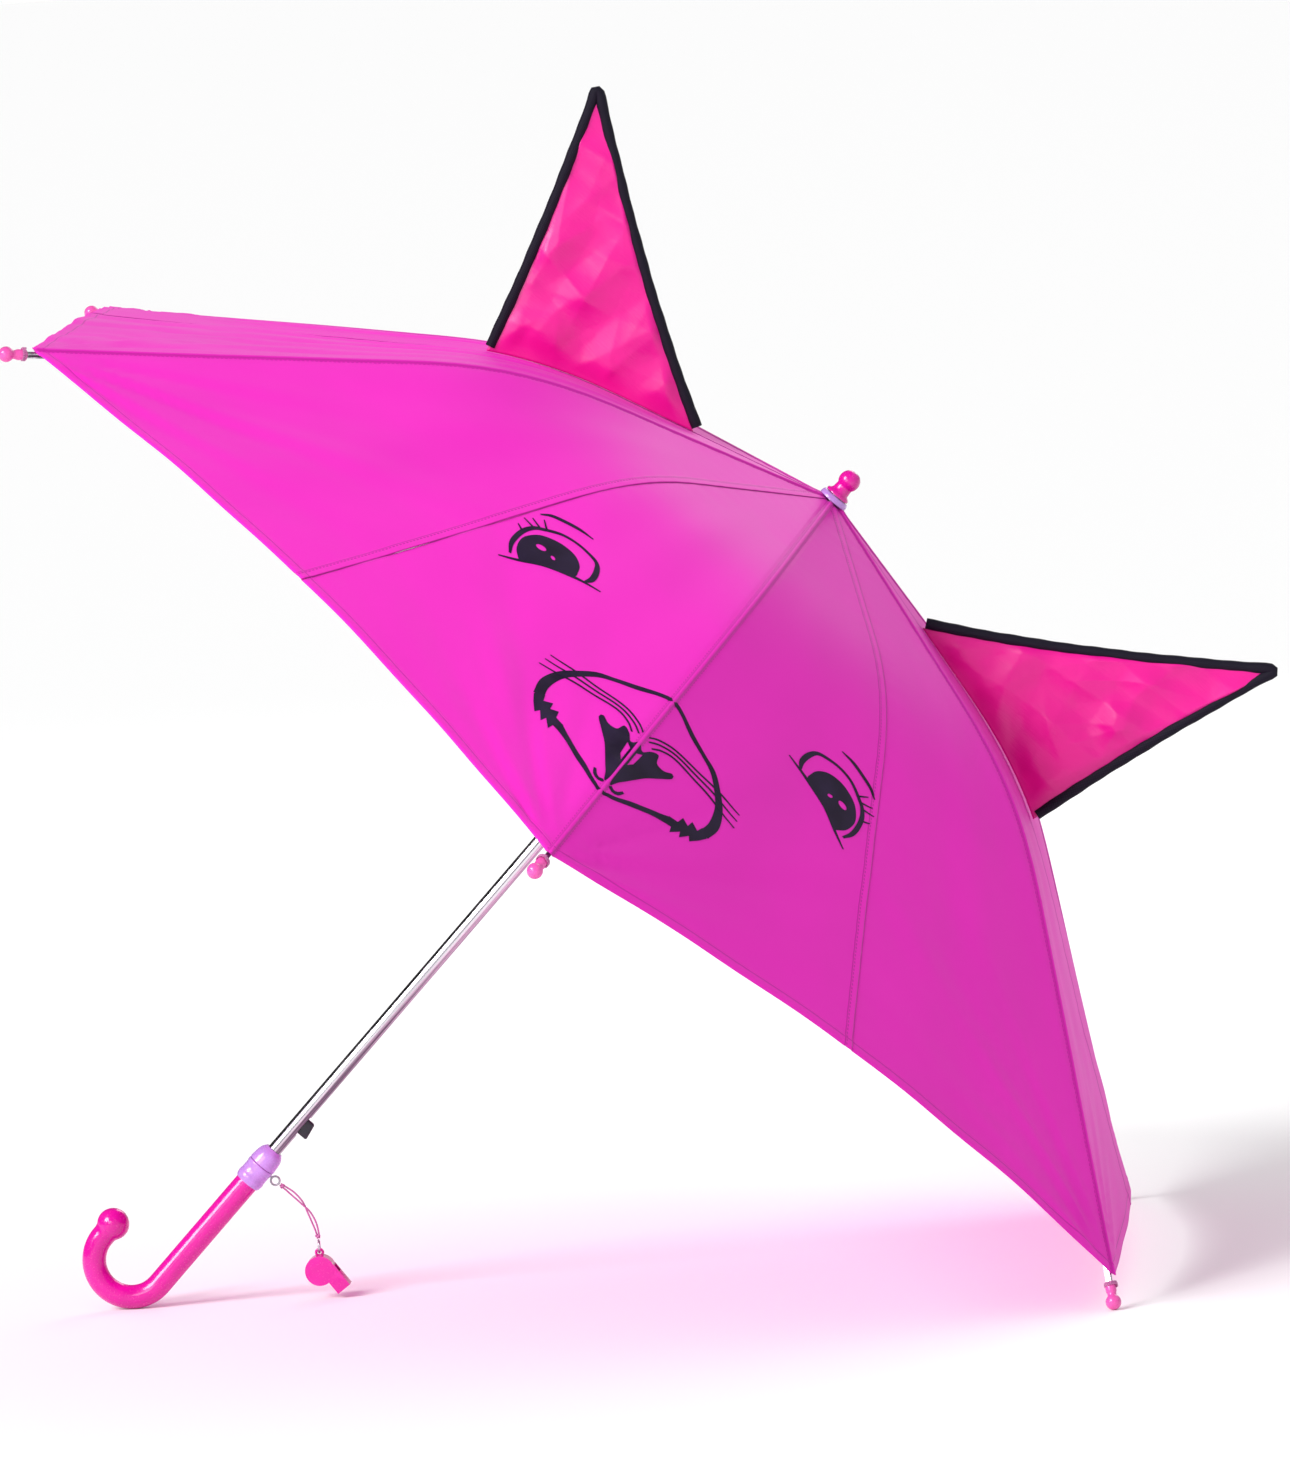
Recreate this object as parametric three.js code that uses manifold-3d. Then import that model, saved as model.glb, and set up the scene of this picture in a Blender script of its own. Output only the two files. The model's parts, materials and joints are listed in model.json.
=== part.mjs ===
// A child's stick umbrella with a six-rib canopy, two fabric ears, a hooked handle and a whistle on a cord.
// It lies open on a surface: the hook and the two lowest rib tips touch the plane z = 0.
import * as THREE from 'three';
import { mergeVertices } from 'three/addons/utils/BufferGeometryUtils.js';
import Module from 'manifold-3d';

const wasm = await Module();
wasm.setup();

// ---- driving dimensions, mm. The umbrella's own frame has its axis on Z, with the canopy's top near z = 0 ----
const GAP = 0.3;
const RIBS = 6;
const SECTOR = (2 * Math.PI) / RIBS;
const FRONT = -Math.PI / 2;

const SHAFT_R = 4;
const SHAFT_BORE = 3.3;
const SHAFT_TOP = 9;
const SHAFT_BOTTOM = -534;
const SLIDE_R = SHAFT_R + GAP;

const PIVOT_R = 9;
const PIVOT_Z = -4.5;
const RIB_LENGTH = 490;
const RIB_W = 2.8;
const RIB_H = 2.8;
const RIB_WALL = 0.7;
const SLOPE_START = THREE.MathUtils.degToRad(13);
const SLOPE_END = THREE.MathUtils.degToRad(33.5);
const BEND_START = 125;
const BEND_END = 285;
const FOLD_ANGLE = THREE.MathUtils.degToRad(64);

const ELBOW_S = 205;
const STRETCHER_W = 4.8;
const STRETCHER_H = 2.8;
const STRETCHER_WALL = 0.7;
const FORK = 13;

const TIP_BALL_R = 4.3;
const TIP_BALL_S = 500;
const TIP_SLEEVE_R = 3;
const TIP_BORE_R = 2.3;

const CLOTH_RISE = 3;
const CLOTH_T = 1;
const CLOTH_INNER_R = 5.5;
const CLOTH_END = 488;
const HEM_RISE = 22;
const BULGE = 0.04;
const CLOTH_SHIFT = 0.6;

const EAR_BASE_IN = 84;
const EAR_BASE_OUT = 200;
const EAR_APEX = new THREE.Vector2(251, 92);
const EAR_PANEL_T = 0.9;
const PIPING_R = 3;

const CROWN_R = 10.5;
const CROWN_TOP = -3;
const CROWN_BOTTOM = -11;
const NOTCH_IN = 6.4;
const RUNNER_TUBE_R = 6;
const RUNNER_CROWN_R = 11.5;
const RUNNER_LENGTH = 52;

const FERRULE_TOP = -484;
const FERRULE_SPLIT = -495;
const FERRULE_BOTTOM = -508;
const FERRULE_R = 8.2;

const HANDLE_R = 6.8;
const HANDLE_TOP = -490.8;
const HOOK_R = 21;
const HOOK_Z = -585;
const HOOK_TAIL = 7;
const HANDLE_BALL_R = 9.2;

const BUTTON_Z = -463;
const BUTTON_L = 10;
const BUTTON_W = 3.2;
const BUTTON_OUT = 9.8;

const EYELET_Z = -497;
const EYELET_R = 2.5;
const EYELET_WIRE = 0.6;
const CORD_R = 1.1;
const RING_R = 3.6;
const RING_WIRE = 0.6;
const WHISTLE_R = 8.4;
const WHISTLE_W = 12;
const LUG_R = 1.9;

const PINK = { color: 0xf03bd0, roughness: 0.6, metalness: 0 };
const HOT_PINK = { color: 0xea1593, roughness: 0.45, metalness: 0 };
const MAGENTA = { color: 0xe80ca1, roughness: 0.25, metalness: 0 };
const LILAC = { color: 0xb784da, roughness: 0.35, metalness: 0 };
const BLACK = { color: 0x0a0422, roughness: 0.5, metalness: 0 };
const CHROME = { color: 0xc9ccd2, roughness: 0.18, metalness: 1 };
const ZINC = { color: 0xa9adb3, roughness: 0.4, metalness: 1 };
const MAUVE = { color: 0xb06aa0, roughness: 0.8, metalness: 0 };

// ---- helpers ----
function bare(geometry) {
  const plain = geometry.clone();
  plain.deleteAttribute('normal');
  plain.deleteAttribute('uv');
  return mergeVertices(plain, 1e-4);
}

function toSolid(geometry) {
  const closed = bare(geometry);
  const vertProperties = new Float32Array(closed.attributes.position.array);
  const triVerts = new Uint32Array(closed.index.array);
  return new wasm.Manifold(new wasm.Mesh({ numProp: 3, vertProperties, triVerts }));
}

function fromSolid(solid) {
  const cut = solid.getMesh();
  const geometry = new THREE.BufferGeometry();
  geometry.setAttribute('position', new THREE.BufferAttribute(cut.vertProperties, 3));
  geometry.setIndex(new THREE.BufferAttribute(cut.triVerts, 1));
  return geometry;
}

function cutAway(geometry, ...cutters) {
  let solid = toSolid(geometry);
  for (const cutter of cutters) {
    solid = solid.subtract(toSolid(cutter));
  }
  return fromSolid(solid);
}

function joined(...geometries) {
  let solid = toSolid(geometries[0]);
  for (const geometry of geometries.slice(1)) {
    solid = solid.add(toSolid(geometry));
  }
  return fromSolid(solid);
}

function named(name, geometry, finish) {
  const part = new THREE.Mesh(geometry, new THREE.MeshStandardMaterial(finish));
  part.name = name;
  return part;
}

// A turned solid on Z. Points are [radius, height], listed so that the outside is walked upwards.
function turned(points, sides = 24) {
  const geometry = new THREE.LatheGeometry(points.map(([r, z]) => new THREE.Vector2(r, z)), sides);
  return geometry.rotateX(Math.PI / 2);
}

// A box of w x h x d whose centre is at (x, y, z).
function block(w, d, h, x, y, z) {
  return new THREE.BoxGeometry(w, d, h).translate(x, y, z);
}

// A closed slab: a subdivided box with its corners at 0 and 1, each vertex sent through place(u, v, h).
function slab(place, stepsU, stepsV) {
  const geometry = new THREE.BoxGeometry(1, 1, 1, stepsU, stepsV, 1).translate(0.5, 0.5, 0.5);
  const at = geometry.attributes.position;
  for (let i = 0; i < at.count; i += 1) {
    at.setXYZ(i, ...place(at.getX(i), at.getY(i), at.getZ(i)));
  }
  return bare(geometry);
}

function circleShape(radius, sides) {
  const shape = new THREE.Shape();
  for (let i = 0; i < sides; i += 1) {
    const turn = (i / sides) * 2 * Math.PI;
    const x = radius * Math.cos(turn);
    const y = radius * Math.sin(turn);
    if (i === 0) shape.moveTo(x, y);
    else shape.lineTo(x, y);
  }
  return shape;
}

function tube(path, radius, sides, steps) {
  return new THREE.ExtrudeGeometry(circleShape(radius, sides), { steps, extrudePath: path, bevelEnabled: false });
}

// ---- the rib's line: nearly straight from its pivot, bending down around the stretcher's elbow ----
function slopeAt(s) {
  const bend = THREE.MathUtils.smoothstep(s, BEND_START, BEND_END);
  return SLOPE_START + (SLOPE_END - SLOPE_START) * bend;
}

const LINE_STEP = 2;
const ribLine = [new THREE.Vector2(PIVOT_R, PIVOT_Z)];
for (let s = 0; s < TIP_BALL_S + 10; s += LINE_STEP) {
  const slope = slopeAt(s + LINE_STEP / 2);
  const move = new THREE.Vector2(Math.cos(slope), -Math.sin(slope)).multiplyScalar(LINE_STEP);
  ribLine.push(ribLine[ribLine.length - 1].clone().add(move));
}

// The point at arc length s, in (radius, height); a negative s runs on straight towards the axis.
function ribPoint(s) {
  if (s < 0) {
    return new THREE.Vector2(PIVOT_R + s * Math.cos(SLOPE_START), PIVOT_Z - s * Math.sin(SLOPE_START));
  }
  const index = Math.min(Math.floor(s / LINE_STEP), ribLine.length - 2);
  return ribLine[index].clone().lerp(ribLine[index + 1], s / LINE_STEP - index);
}

// ---- layers of the group ----
const umbrella = new THREE.Group();

function add(mesh, parent = umbrella) {
  parent.add(mesh);
  return mesh;
}

// ---- shaft, crown and finial ----
function slotCutters(width, innerR, outerR, low, high) {
  const cutters = [];
  for (let i = 0; i < RIBS; i += 1) {
    const cutter = block(outerR - innerR, width, high - low, (outerR + innerR) / 2, 0, (high + low) / 2);
    cutters.push(cutter.rotateZ(FRONT + i * SECTOR));
  }
  return cutters;
}

const shaftTube = turned([
  [SHAFT_BORE, SHAFT_BOTTOM], [SHAFT_R, SHAFT_BOTTOM], [SHAFT_R, SHAFT_TOP], [SHAFT_BORE, SHAFT_TOP],
  [SHAFT_BORE, SHAFT_BOTTOM],
], 20);
const buttonSlot = block(4, BUTTON_W + 2 * GAP, BUTTON_L + 3, SHAFT_R, 0, BUTTON_Z);
add(named('shaft', cutAway(shaftTube, buttonSlot), CHROME));

const crownBlank = turned([
  [SLIDE_R, CROWN_BOTTOM], [CROWN_R - 1.5, CROWN_BOTTOM], [CROWN_R, CROWN_BOTTOM + 1.5],
  [CROWN_R, CROWN_TOP], [SLIDE_R, CROWN_TOP], [SLIDE_R, CROWN_BOTTOM],
], 24);
const crownSlots = slotCutters(RIB_W + 2 * GAP, NOTCH_IN, CROWN_R + 4, CROWN_BOTTOM - 1, CROWN_TOP + 1);
add(named('crown', cutAway(crownBlank, ...crownSlots), ZINC));

add(named('finial_ring', turned([
  [SLIDE_R, 0.7], [8.6, 0.7], [8.8, 1.8], [8.1, 3.9], [SLIDE_R, 4.3], [SLIDE_R, 0.7],
], 20), LILAC));

const FINIAL_BALL_R = 6.2;
const FINIAL_BALL_Z = 15.4;
const FINIAL_FLAT_R = 2.4;
const finialProfile = [[SLIDE_R, 4.6], [7.2, 4.6], [7.2, 5.9], [5.2, 7.5], [5, 10.8]];
for (let i = 1; i <= 6; i += 1) {
  const turn = THREE.MathUtils.lerp(-0.7, 1.17, i / 6);
  finialProfile.push([FINIAL_BALL_R * Math.cos(turn), FINIAL_BALL_Z + FINIAL_BALL_R * Math.sin(turn)]);
}
const FINIAL_TOP = finialProfile[finialProfile.length - 1][1];
finialProfile.push([0, FINIAL_TOP], [0, SHAFT_TOP + GAP], [SLIDE_R, SHAFT_TOP + GAP], [SLIDE_R, 4.6]);
add(named('finial', turned(finialProfile, 18), MAGENTA));

// ---- ribs, tips and stretchers ----
class LineInPlane extends THREE.Curve {
  constructor(from, to) {
    super();
    this.from = from;
    this.to = to;
  }

  getPoint(t) {
    const p = ribPoint(THREE.MathUtils.lerp(this.from, this.to, t));
    return new THREE.Vector3(p.x, 0, p.y);
  }
}

// A channel section whose open side faces away from the canopy.
function channel(width, height, wall) {
  const w = width / 2;
  const h = height / 2;
  const shape = new THREE.Shape();
  shape.moveTo(-h, -w);
  shape.lineTo(h, -w);
  shape.lineTo(h, w);
  shape.lineTo(-h, w);
  shape.lineTo(-h, w - wall);
  shape.lineTo(h - wall, w - wall);
  shape.lineTo(h - wall, wall - w);
  shape.lineTo(-h, wall - w);
  return shape;
}

function ribGeometry() {
  const line = new LineInPlane(-RIB_H / 2, RIB_LENGTH);
  const shape = channel(RIB_W, RIB_H, RIB_WALL);
  return new THREE.ExtrudeGeometry(shape, { steps: 14, extrudePath: line, bevelEnabled: false });
}

function tipGeometry() {
  const base = CLOTH_END + 0.5 - TIP_BALL_S;
  const profile = [[TIP_BORE_R, base], [TIP_SLEEVE_R, base], [TIP_SLEEVE_R, -6], [2.5, -4.6]];
  for (let i = 0; i <= 4; i += 1) {
    const turn = THREE.MathUtils.lerp(-0.85, Math.PI / 2, i / 4);
    profile.push([Math.max(0, TIP_BALL_R * Math.cos(turn)), TIP_BALL_R * Math.sin(turn)]);
  }
  profile[profile.length - 1][0] = 0;
  const ribEnd = RIB_LENGTH - TIP_BALL_S + GAP;
  profile.push([0, ribEnd], [TIP_BORE_R, ribEnd], [TIP_BORE_R, base]);
  const centre = ribPoint(TIP_BALL_S);
  const geometry = turned(profile, 10);
  geometry.rotateY(Math.PI / 2 + slopeAt(TIP_BALL_S));
  return geometry.translate(centre.x, 0, centre.y);
}

const elbow = ribPoint(ELBOW_S);
const reach = new THREE.Vector2(elbow.x - PIVOT_R, elbow.y - PIVOT_Z);
const STRETCHER_LENGTH = reach.length();
const ELBOW_ANGLE = Math.atan2(-reach.y, reach.x);
const RUNNER_PIVOT_Z = PIVOT_Z - 2 * STRETCHER_LENGTH * Math.sin(ELBOW_ANGLE);

// The stretcher lies from the elbow down to the runner, at the mirror image of the rib's slope.
function stretcherGeometry() {
  const past = 1.2;
  const shape = channel(STRETCHER_W, STRETCHER_H, STRETCHER_WALL);
  const length = STRETCHER_LENGTH + 2 * past;
  const bar = new THREE.ExtrudeGeometry(shape, { depth: length, bevelEnabled: false });
  bar.translate(0, 0, -past);
  const webEnd = block(STRETCHER_H, STRETCHER_W - 2 * STRETCHER_WALL, FORK + past, STRETCHER_WALL, 0, (FORK - past) / 2);
  const forked = cutAway(bar, webEnd);
  forked.rotateY(-Math.PI / 2 - ELBOW_ANGLE);
  return forked.translate(elbow.x, 0, elbow.y);
}

// ---- canopy: each rib carries two half gores, from its own line out to the plain seam midway to the next ----
function clothAt(s, w, h) {
  const side = Math.abs(w);
  const end = CLOTH_END - HEM_RISE * Math.sin((side * Math.PI) / 2);
  const start = (CLOTH_INNER_R - PIVOT_R) / Math.cos(SLOPE_START);
  const p = ribPoint(THREE.MathUtils.lerp(start, end, s));
  const swell = 1 + BULGE * s * s * Math.sin((side * Math.PI) / 2);
  const midRatio = Math.cos(SECTOR / 2);
  const x = p.x * (1 - side + side * midRatio * midRatio) * swell;
  const y = p.x * w * midRatio * Math.sin(SECTOR / 2) * swell;
  return [x, y, p.y + CLOTH_RISE + CLOTH_T * h];
}

const CLOTH_STEPS = 12;

function halfGoreGeometry(side) {
  const bisector = (side * SECTOR) / 4;
  return slab((u, v, h) => {
    const w = side > 0 ? v : v - 1;
    const [x, y, z] = clothAt(u, w, h);
    return [x + CLOTH_SHIFT * Math.cos(bisector), y + CLOTH_SHIFT * Math.sin(bisector), z];
  }, CLOTH_STEPS, 3);
}

const rib = ribGeometry();
const tip = tipGeometry();
const stretcher = stretcherGeometry();
for (let i = 0; i < RIBS; i += 1) {
  const arm = new THREE.Group();
  arm.rotation.z = FRONT + i * SECTOR;
  const n = i + 1;
  add(named(`rib_${n}`, rib.clone(), ZINC), arm);
  add(named(`rib_tip_${n}`, tip.clone(), MAGENTA), arm);
  add(named(`stretcher_${n}`, stretcher.clone(), ZINC), arm);
  add(named(`gore_${n}_left`, halfGoreGeometry(-1), PINK), arm);
  add(named(`gore_${n}_right`, halfGoreGeometry(1), PINK), arm);
  umbrella.add(arm);
}

// ---- runner ----
const runnerTop = RUNNER_PIVOT_Z + 4;
const runnerShoulder = RUNNER_PIVOT_Z - 5;
const runnerBottom = RUNNER_PIVOT_Z - RUNNER_LENGTH;
const runnerBlank = turned([
  [SLIDE_R, runnerBottom], [RUNNER_TUBE_R + 1.2, runnerBottom], [RUNNER_TUBE_R + 1.2, runnerBottom + 4],
  [RUNNER_TUBE_R, runnerBottom + 6], [RUNNER_TUBE_R, runnerShoulder - 3], [RUNNER_CROWN_R - 1, runnerShoulder],
  [RUNNER_CROWN_R, runnerShoulder + 1], [RUNNER_CROWN_R, runnerTop], [SLIDE_R, runnerTop], [SLIDE_R, runnerBottom],
], 24);
const runnerSlots = slotCutters(STRETCHER_W + 2 * GAP, NOTCH_IN, RUNNER_CROWN_R + 4, runnerShoulder - 4, runnerTop + 1);
add(named('runner', cutAway(runnerBlank, ...runnerSlots), MAGENTA));
add(named('runner_stop', turned([
  [SLIDE_R, runnerTop + 1], [5.8, runnerTop + 1], [5.8, runnerTop + 3.4], [SLIDE_R, runnerTop + 3.4],
  [SLIDE_R, runnerTop + 1],
], 20), ZINC));

// ---- the spring that drives the runner, and its seat, inside the shaft ----
const SPRING_R = SHAFT_BORE - GAP;
const SPRING_BOTTOM = -440;
const SPRING_TOP = -160;
add(named('opening_spring', turned([
  [SPRING_R - 0.8, SPRING_BOTTOM], [SPRING_R, SPRING_BOTTOM], [SPRING_R, SPRING_TOP],
  [SPRING_R - 0.8, SPRING_TOP], [SPRING_R - 0.8, SPRING_BOTTOM],
], 16), ZINC));
add(named('spring_seat', turned([
  [0, SPRING_BOTTOM - 8], [SPRING_R, SPRING_BOTTOM - 8], [SPRING_R, SPRING_BOTTOM - GAP],
  [0, SPRING_BOTTOM - GAP],
], 16), ZINC));

// ---- release button: a flat catch that slides in a slot of the shaft ----
const catchShape = new THREE.Shape();
catchShape.moveTo(1.4, -BUTTON_L / 2);
catchShape.lineTo(BUTTON_OUT - 1.5, -BUTTON_L / 2);
catchShape.quadraticCurveTo(BUTTON_OUT, -BUTTON_L / 2, BUTTON_OUT, 1.5 - BUTTON_L / 2);
catchShape.lineTo(BUTTON_OUT - 0.6, 1);
catchShape.lineTo(5.4, BUTTON_L / 2);
catchShape.lineTo(1.4, BUTTON_L / 2);
const catchGeometry = new THREE.ExtrudeGeometry(catchShape, { depth: BUTTON_W, bevelEnabled: false, curveSegments: 4 });
catchGeometry.translate(0, 0, -BUTTON_W / 2).rotateX(Math.PI / 2).translate(0, 0, BUTTON_Z);
add(named('release_button', catchGeometry, BLACK));

// ---- ferrule, its band, and the hooked handle ----
const collarBore = HANDLE_R + GAP;
add(named('ferrule', turned([
  [collarBore, FERRULE_SPLIT], [FERRULE_R, FERRULE_SPLIT], [FERRULE_R - 0.6, -488.5], [6.2, -485],
  [5.4, FERRULE_TOP], [SLIDE_R, FERRULE_TOP], [SLIDE_R, HANDLE_TOP + GAP], [collarBore, HANDLE_TOP + GAP],
  [collarBore, FERRULE_SPLIT],
], 18), LILAC));
add(named('ferrule_band', turned([
  [collarBore, FERRULE_BOTTOM], [7.6, FERRULE_BOTTOM], [FERRULE_R, -505], [FERRULE_R, FERRULE_SPLIT - GAP],
  [collarBore, FERRULE_SPLIT - GAP], [collarBore, FERRULE_BOTTOM],
], 18), LILAC));

class HookLine extends THREE.Curve {
  getPoint(t) {
    const straight = HANDLE_TOP - HOOK_Z;
    const arc = Math.PI * HOOK_R;
    const along = t * (straight + arc + HOOK_TAIL);
    if (along < straight) return new THREE.Vector3(0, 0, HANDLE_TOP - along);
    const turn = (along - straight) / HOOK_R;
    if (turn < Math.PI) {
      return new THREE.Vector3(HOOK_R * Math.cos(turn) - HOOK_R, 0, HOOK_Z - HOOK_R * Math.sin(turn));
    }
    return new THREE.Vector3(-2 * HOOK_R, 0, HOOK_Z + along - straight - arc);
  }
}

const handleTube = tube(new HookLine(), HANDLE_R, 12, 30);
const handleBall = new THREE.SphereGeometry(HANDLE_BALL_R, 14, 8).translate(-2 * HOOK_R, 0, HOOK_Z + HOOK_TAIL + 2);
const handleBore = turned([
  [0, SHAFT_BOTTOM - GAP], [SLIDE_R, SHAFT_BOTTOM - GAP], [SLIDE_R, HANDLE_TOP + 2], [0, HANDLE_TOP + 2],
], 20);
add(named('handle', cutAway(joined(handleTube, handleBall), handleBore), MAGENTA));

const eyeletX = FERRULE_R + GAP + EYELET_R + EYELET_WIRE;
const eyelet = new THREE.TorusGeometry(EYELET_R, EYELET_WIRE, 6, 14).rotateX(Math.PI / 2);
add(named('cord_eyelet', eyelet.translate(eyeletX, 0, EYELET_Z), ZINC));

// ---- ears: a front and a back panel stand in the plain seam, with a wired piping round both slanted edges ----
function seamAt(radius) {
  let low = 0;
  let high = 1;
  for (let i = 0; i < 30; i += 1) {
    const s = (low + high) / 2;
    const [x, y] = clothAt(s, 1, 1);
    if (Math.hypot(x, y) < radius) low = s;
    else high = s;
  }
  const [x, y, z] = clothAt(low, 1, 1);
  return new THREE.Vector2(Math.hypot(x, y) + CLOTH_SHIFT, z);
}

const EAR_LIFT = PIPING_R + 0.6;
const earIn = seamAt(EAR_BASE_IN).add(new THREE.Vector2(0, EAR_LIFT));
const earOut = seamAt(EAR_BASE_OUT).add(new THREE.Vector2(1.5, EAR_LIFT));
const innerBend = new THREE.Vector2(158, 22);
const outerBend = new THREE.Vector2(221, 12);
const innerEdge = new THREE.QuadraticBezierCurve(earIn, innerBend, EAR_APEX);
const outerEdge = new THREE.QuadraticBezierCurve(earOut, outerBend, EAR_APEX);

function pipingGeometry() {
  const points = [];
  for (const t of [0, 0.12, 0.3, 0.5, 0.7, 0.86, 0.95]) points.push(innerEdge.getPoint(t));
  points.push(EAR_APEX.clone().add(new THREE.Vector2(-3.5, -2.6)), EAR_APEX.clone().add(new THREE.Vector2(-1, -3.4)));
  for (const t of [0.95, 0.86, 0.7, 0.5, 0.3, 0.12, 0]) points.push(outerEdge.getPoint(t));
  const path = new THREE.CatmullRomCurve3(points.map((p) => new THREE.Vector3(p.x, 0, p.y)));
  return tube(path, PIPING_R, 8, 26);
}

function inset(edge, t, side) {
  const along = edge.getTangent(t);
  const normal = new THREE.Vector2(along.y, -along.x).multiplyScalar(side * (PIPING_R + 0.5));
  return edge.getPoint(t).add(normal);
}

const PANEL_TOP = 0.88; // the panel stops short of the apex, where the two pipings meet

// The panel's foot follows the seam's curve below it, apart from its outer corner, which clears the piping.
function earPanelGeometry(side) {
  return slab((u, v, h) => {
    const t = v * PANEL_TOP;
    const p = inset(innerEdge, t, 1).lerp(inset(outerEdge, t, -1), u);
    const base = inset(innerEdge, 0, 1).lerp(inset(outerEdge, 0, -1), u);
    const toSeam = seamAt(base.x).y + 0.5 - base.y;
    const move = toSeam > 0 ? toSeam : toSeam * (1 - 0.95 * u ** 8);
    const z = p.y + move * (1 - THREE.MathUtils.smoothstep(v, 0, 0.35));
    const near = GAP / 2 + EAR_PANEL_T * (side > 0 ? 1 - h : h);
    return [p.x, side * near, z];
  }, 5, 7);
}

for (const [name, turn] of [['right', 0], ['left', Math.PI]]) {
  const ear = new THREE.Group();
  ear.rotation.z = turn;
  const frontSide = turn === 0 ? -1 : 1;
  add(named(`ear_${name}_face`, earPanelGeometry(frontSide), HOT_PINK), ear);
  add(named(`ear_${name}_back`, earPanelGeometry(-frontSide), PINK), ear);
  add(named(`ear_${name}_piping`, pipingGeometry(), BLACK), ear);
  umbrella.add(ear);
}

// ---- tie strap, sewn flat to the back gore near its hem ----
const STRAP_W = 18;
const STRAP_L = 110;
const STRAP_START = 0.12;
const STRAP_RISE = 0.6;
const SEAM_LENGTH = 210; // from the rib to the plain seam, at the strap
const backArm = new THREE.Group();
backArm.rotation.z = FRONT + 3 * SECTOR;
const strapGeometry = slab((u, v, h) => {
  const s = 0.93 + (u * STRAP_W) / CLOTH_END;
  const w = STRAP_START + (v * STRAP_L) / SEAM_LENGTH;
  const [x, y, z] = clothAt(s, w, 1);
  return [x + CLOTH_SHIFT, y, z + STRAP_RISE + h];
}, 2, 6);
add(named('tie_strap', strapGeometry, PINK), backArm);
umbrella.add(backArm);

// ---- how it lies: leaning towards +X until the hook and the two lowest tips are level ----
const tipCentre = ribPoint(TIP_BALL_S);
const hookOuter = HOOK_R + HANDLE_R;
const across = HOOK_R + tipCentre.x * Math.cos(SECTOR / 2);
const above = tipCentre.y - HOOK_Z;
const LEAN = Math.atan2(above, across) + Math.asin((hookOuter - TIP_BALL_R) / Math.hypot(across, above));
umbrella.rotation.y = LEAN;
const pose = new THREE.Group();
pose.add(umbrella);
const group = new THREE.Group();
group.add(pose);
group.updateMatrixWorld(true);
const bounds = new THREE.Box3().setFromObject(group, true);
const middle = bounds.getCenter(new THREE.Vector3());
pose.position.set(-middle.x, -middle.y, -bounds.min.z);
group.updateMatrixWorld(true);

// ---- whistle on its cord, hanging from the eyelet; the route's steps are from the eyelet's centre ----
const cordRoute = [
  [2.7, -2.3], [5.9, -4.8], [9.3, -7.8], [12.6, -11.3], [15.6, -15.3], [18.2, -19.8],
  [20.2, -24.6], [21.6, -29.4], [22.3, -34.2],
];
const exit = umbrella.localToWorld(new THREE.Vector3(eyeletX, 0, EYELET_Z));
const hanging = new THREE.Group();
hanging.position.copy(exit);
const cordPath = new THREE.CatmullRomCurve3(cordRoute.map(([x, z]) => new THREE.Vector3(x, 0, z)));
add(named('whistle_cord', tube(cordPath, CORD_R, 8, 10), MAUVE), hanging);

const ringZ = cordRoute[cordRoute.length - 1][1] - RING_R - RING_WIRE - GAP;
const ringX = cordRoute[cordRoute.length - 1][0];
const ring = new THREE.TorusGeometry(RING_R, RING_WIRE, 6, 16);
add(named('whistle_ring', ring.rotateY(Math.PI / 2).translate(ringX, 0, ringZ), ZINC), hanging);

const WHISTLE_LENGTH = 25;
const MOUTH_H = 8.6;
function whistleGeometry() {
  const side = new THREE.Shape();
  side.moveTo(0, WHISTLE_R);
  side.absarc(0, 0, WHISTLE_R, Math.PI / 2, 2 * Math.PI - 0.1, false);
  side.lineTo(WHISTLE_LENGTH - WHISTLE_R, WHISTLE_R - MOUTH_H);
  side.lineTo(WHISTLE_LENGTH - WHISTLE_R, WHISTLE_R);
  side.lineTo(7.4, WHISTLE_R);
  side.lineTo(4.6, WHISTLE_R - 3.6);
  side.lineTo(2.6, WHISTLE_R - 3.6);
  side.lineTo(2.6, WHISTLE_R);
  const settings = { depth: WHISTLE_W, bevelEnabled: false, curveSegments: 14 };
  const body = new THREE.ExtrudeGeometry(side, settings).translate(0, 0, -WHISTLE_W / 2);
  const lug = new THREE.TorusGeometry(LUG_R, 0.8, 6, 12);
  const lugTurn = Math.PI * 0.8;
  const lugAway = WHISTLE_R + LUG_R - 0.4;
  lug.translate(lugAway * Math.cos(lugTurn), lugAway * Math.sin(lugTurn), 0);
  const whole = joined(body, lug).rotateZ(-(lugTurn - Math.PI / 2)).rotateX(Math.PI / 2);
  return whole;
}
const whistle = whistleGeometry();
const lugCentre = WHISTLE_R + LUG_R - 0.4;
whistle.translate(ringX, 0, ringZ - RING_R - lugCentre + 0.1);
add(named('whistle', whistle, MAGENTA), hanging);
group.add(hanging);
group.updateMatrixWorld(true);

export default group;
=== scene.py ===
# %% [markdown]
# # An open child's umbrella, lying on its hook and two rib tips
# The frame holds every part at its real size and place. This lesson adds what the eye sees: cloth with its
# seams and folds, a printed face, satin ears, smooth plastic, chrome and a looped string.
# Lengths are written in millimetres of the umbrella's own frame, which has the shaft along Z, and one matrix
# lays each finished mesh where the frame says.

# %% Load the frame
import json
import math
import random

import bmesh
import bpy
import numpy as np
from mathutils import Matrix, Vector, noise
from mathutils.geometry import delaunay_2d_cdt

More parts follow.
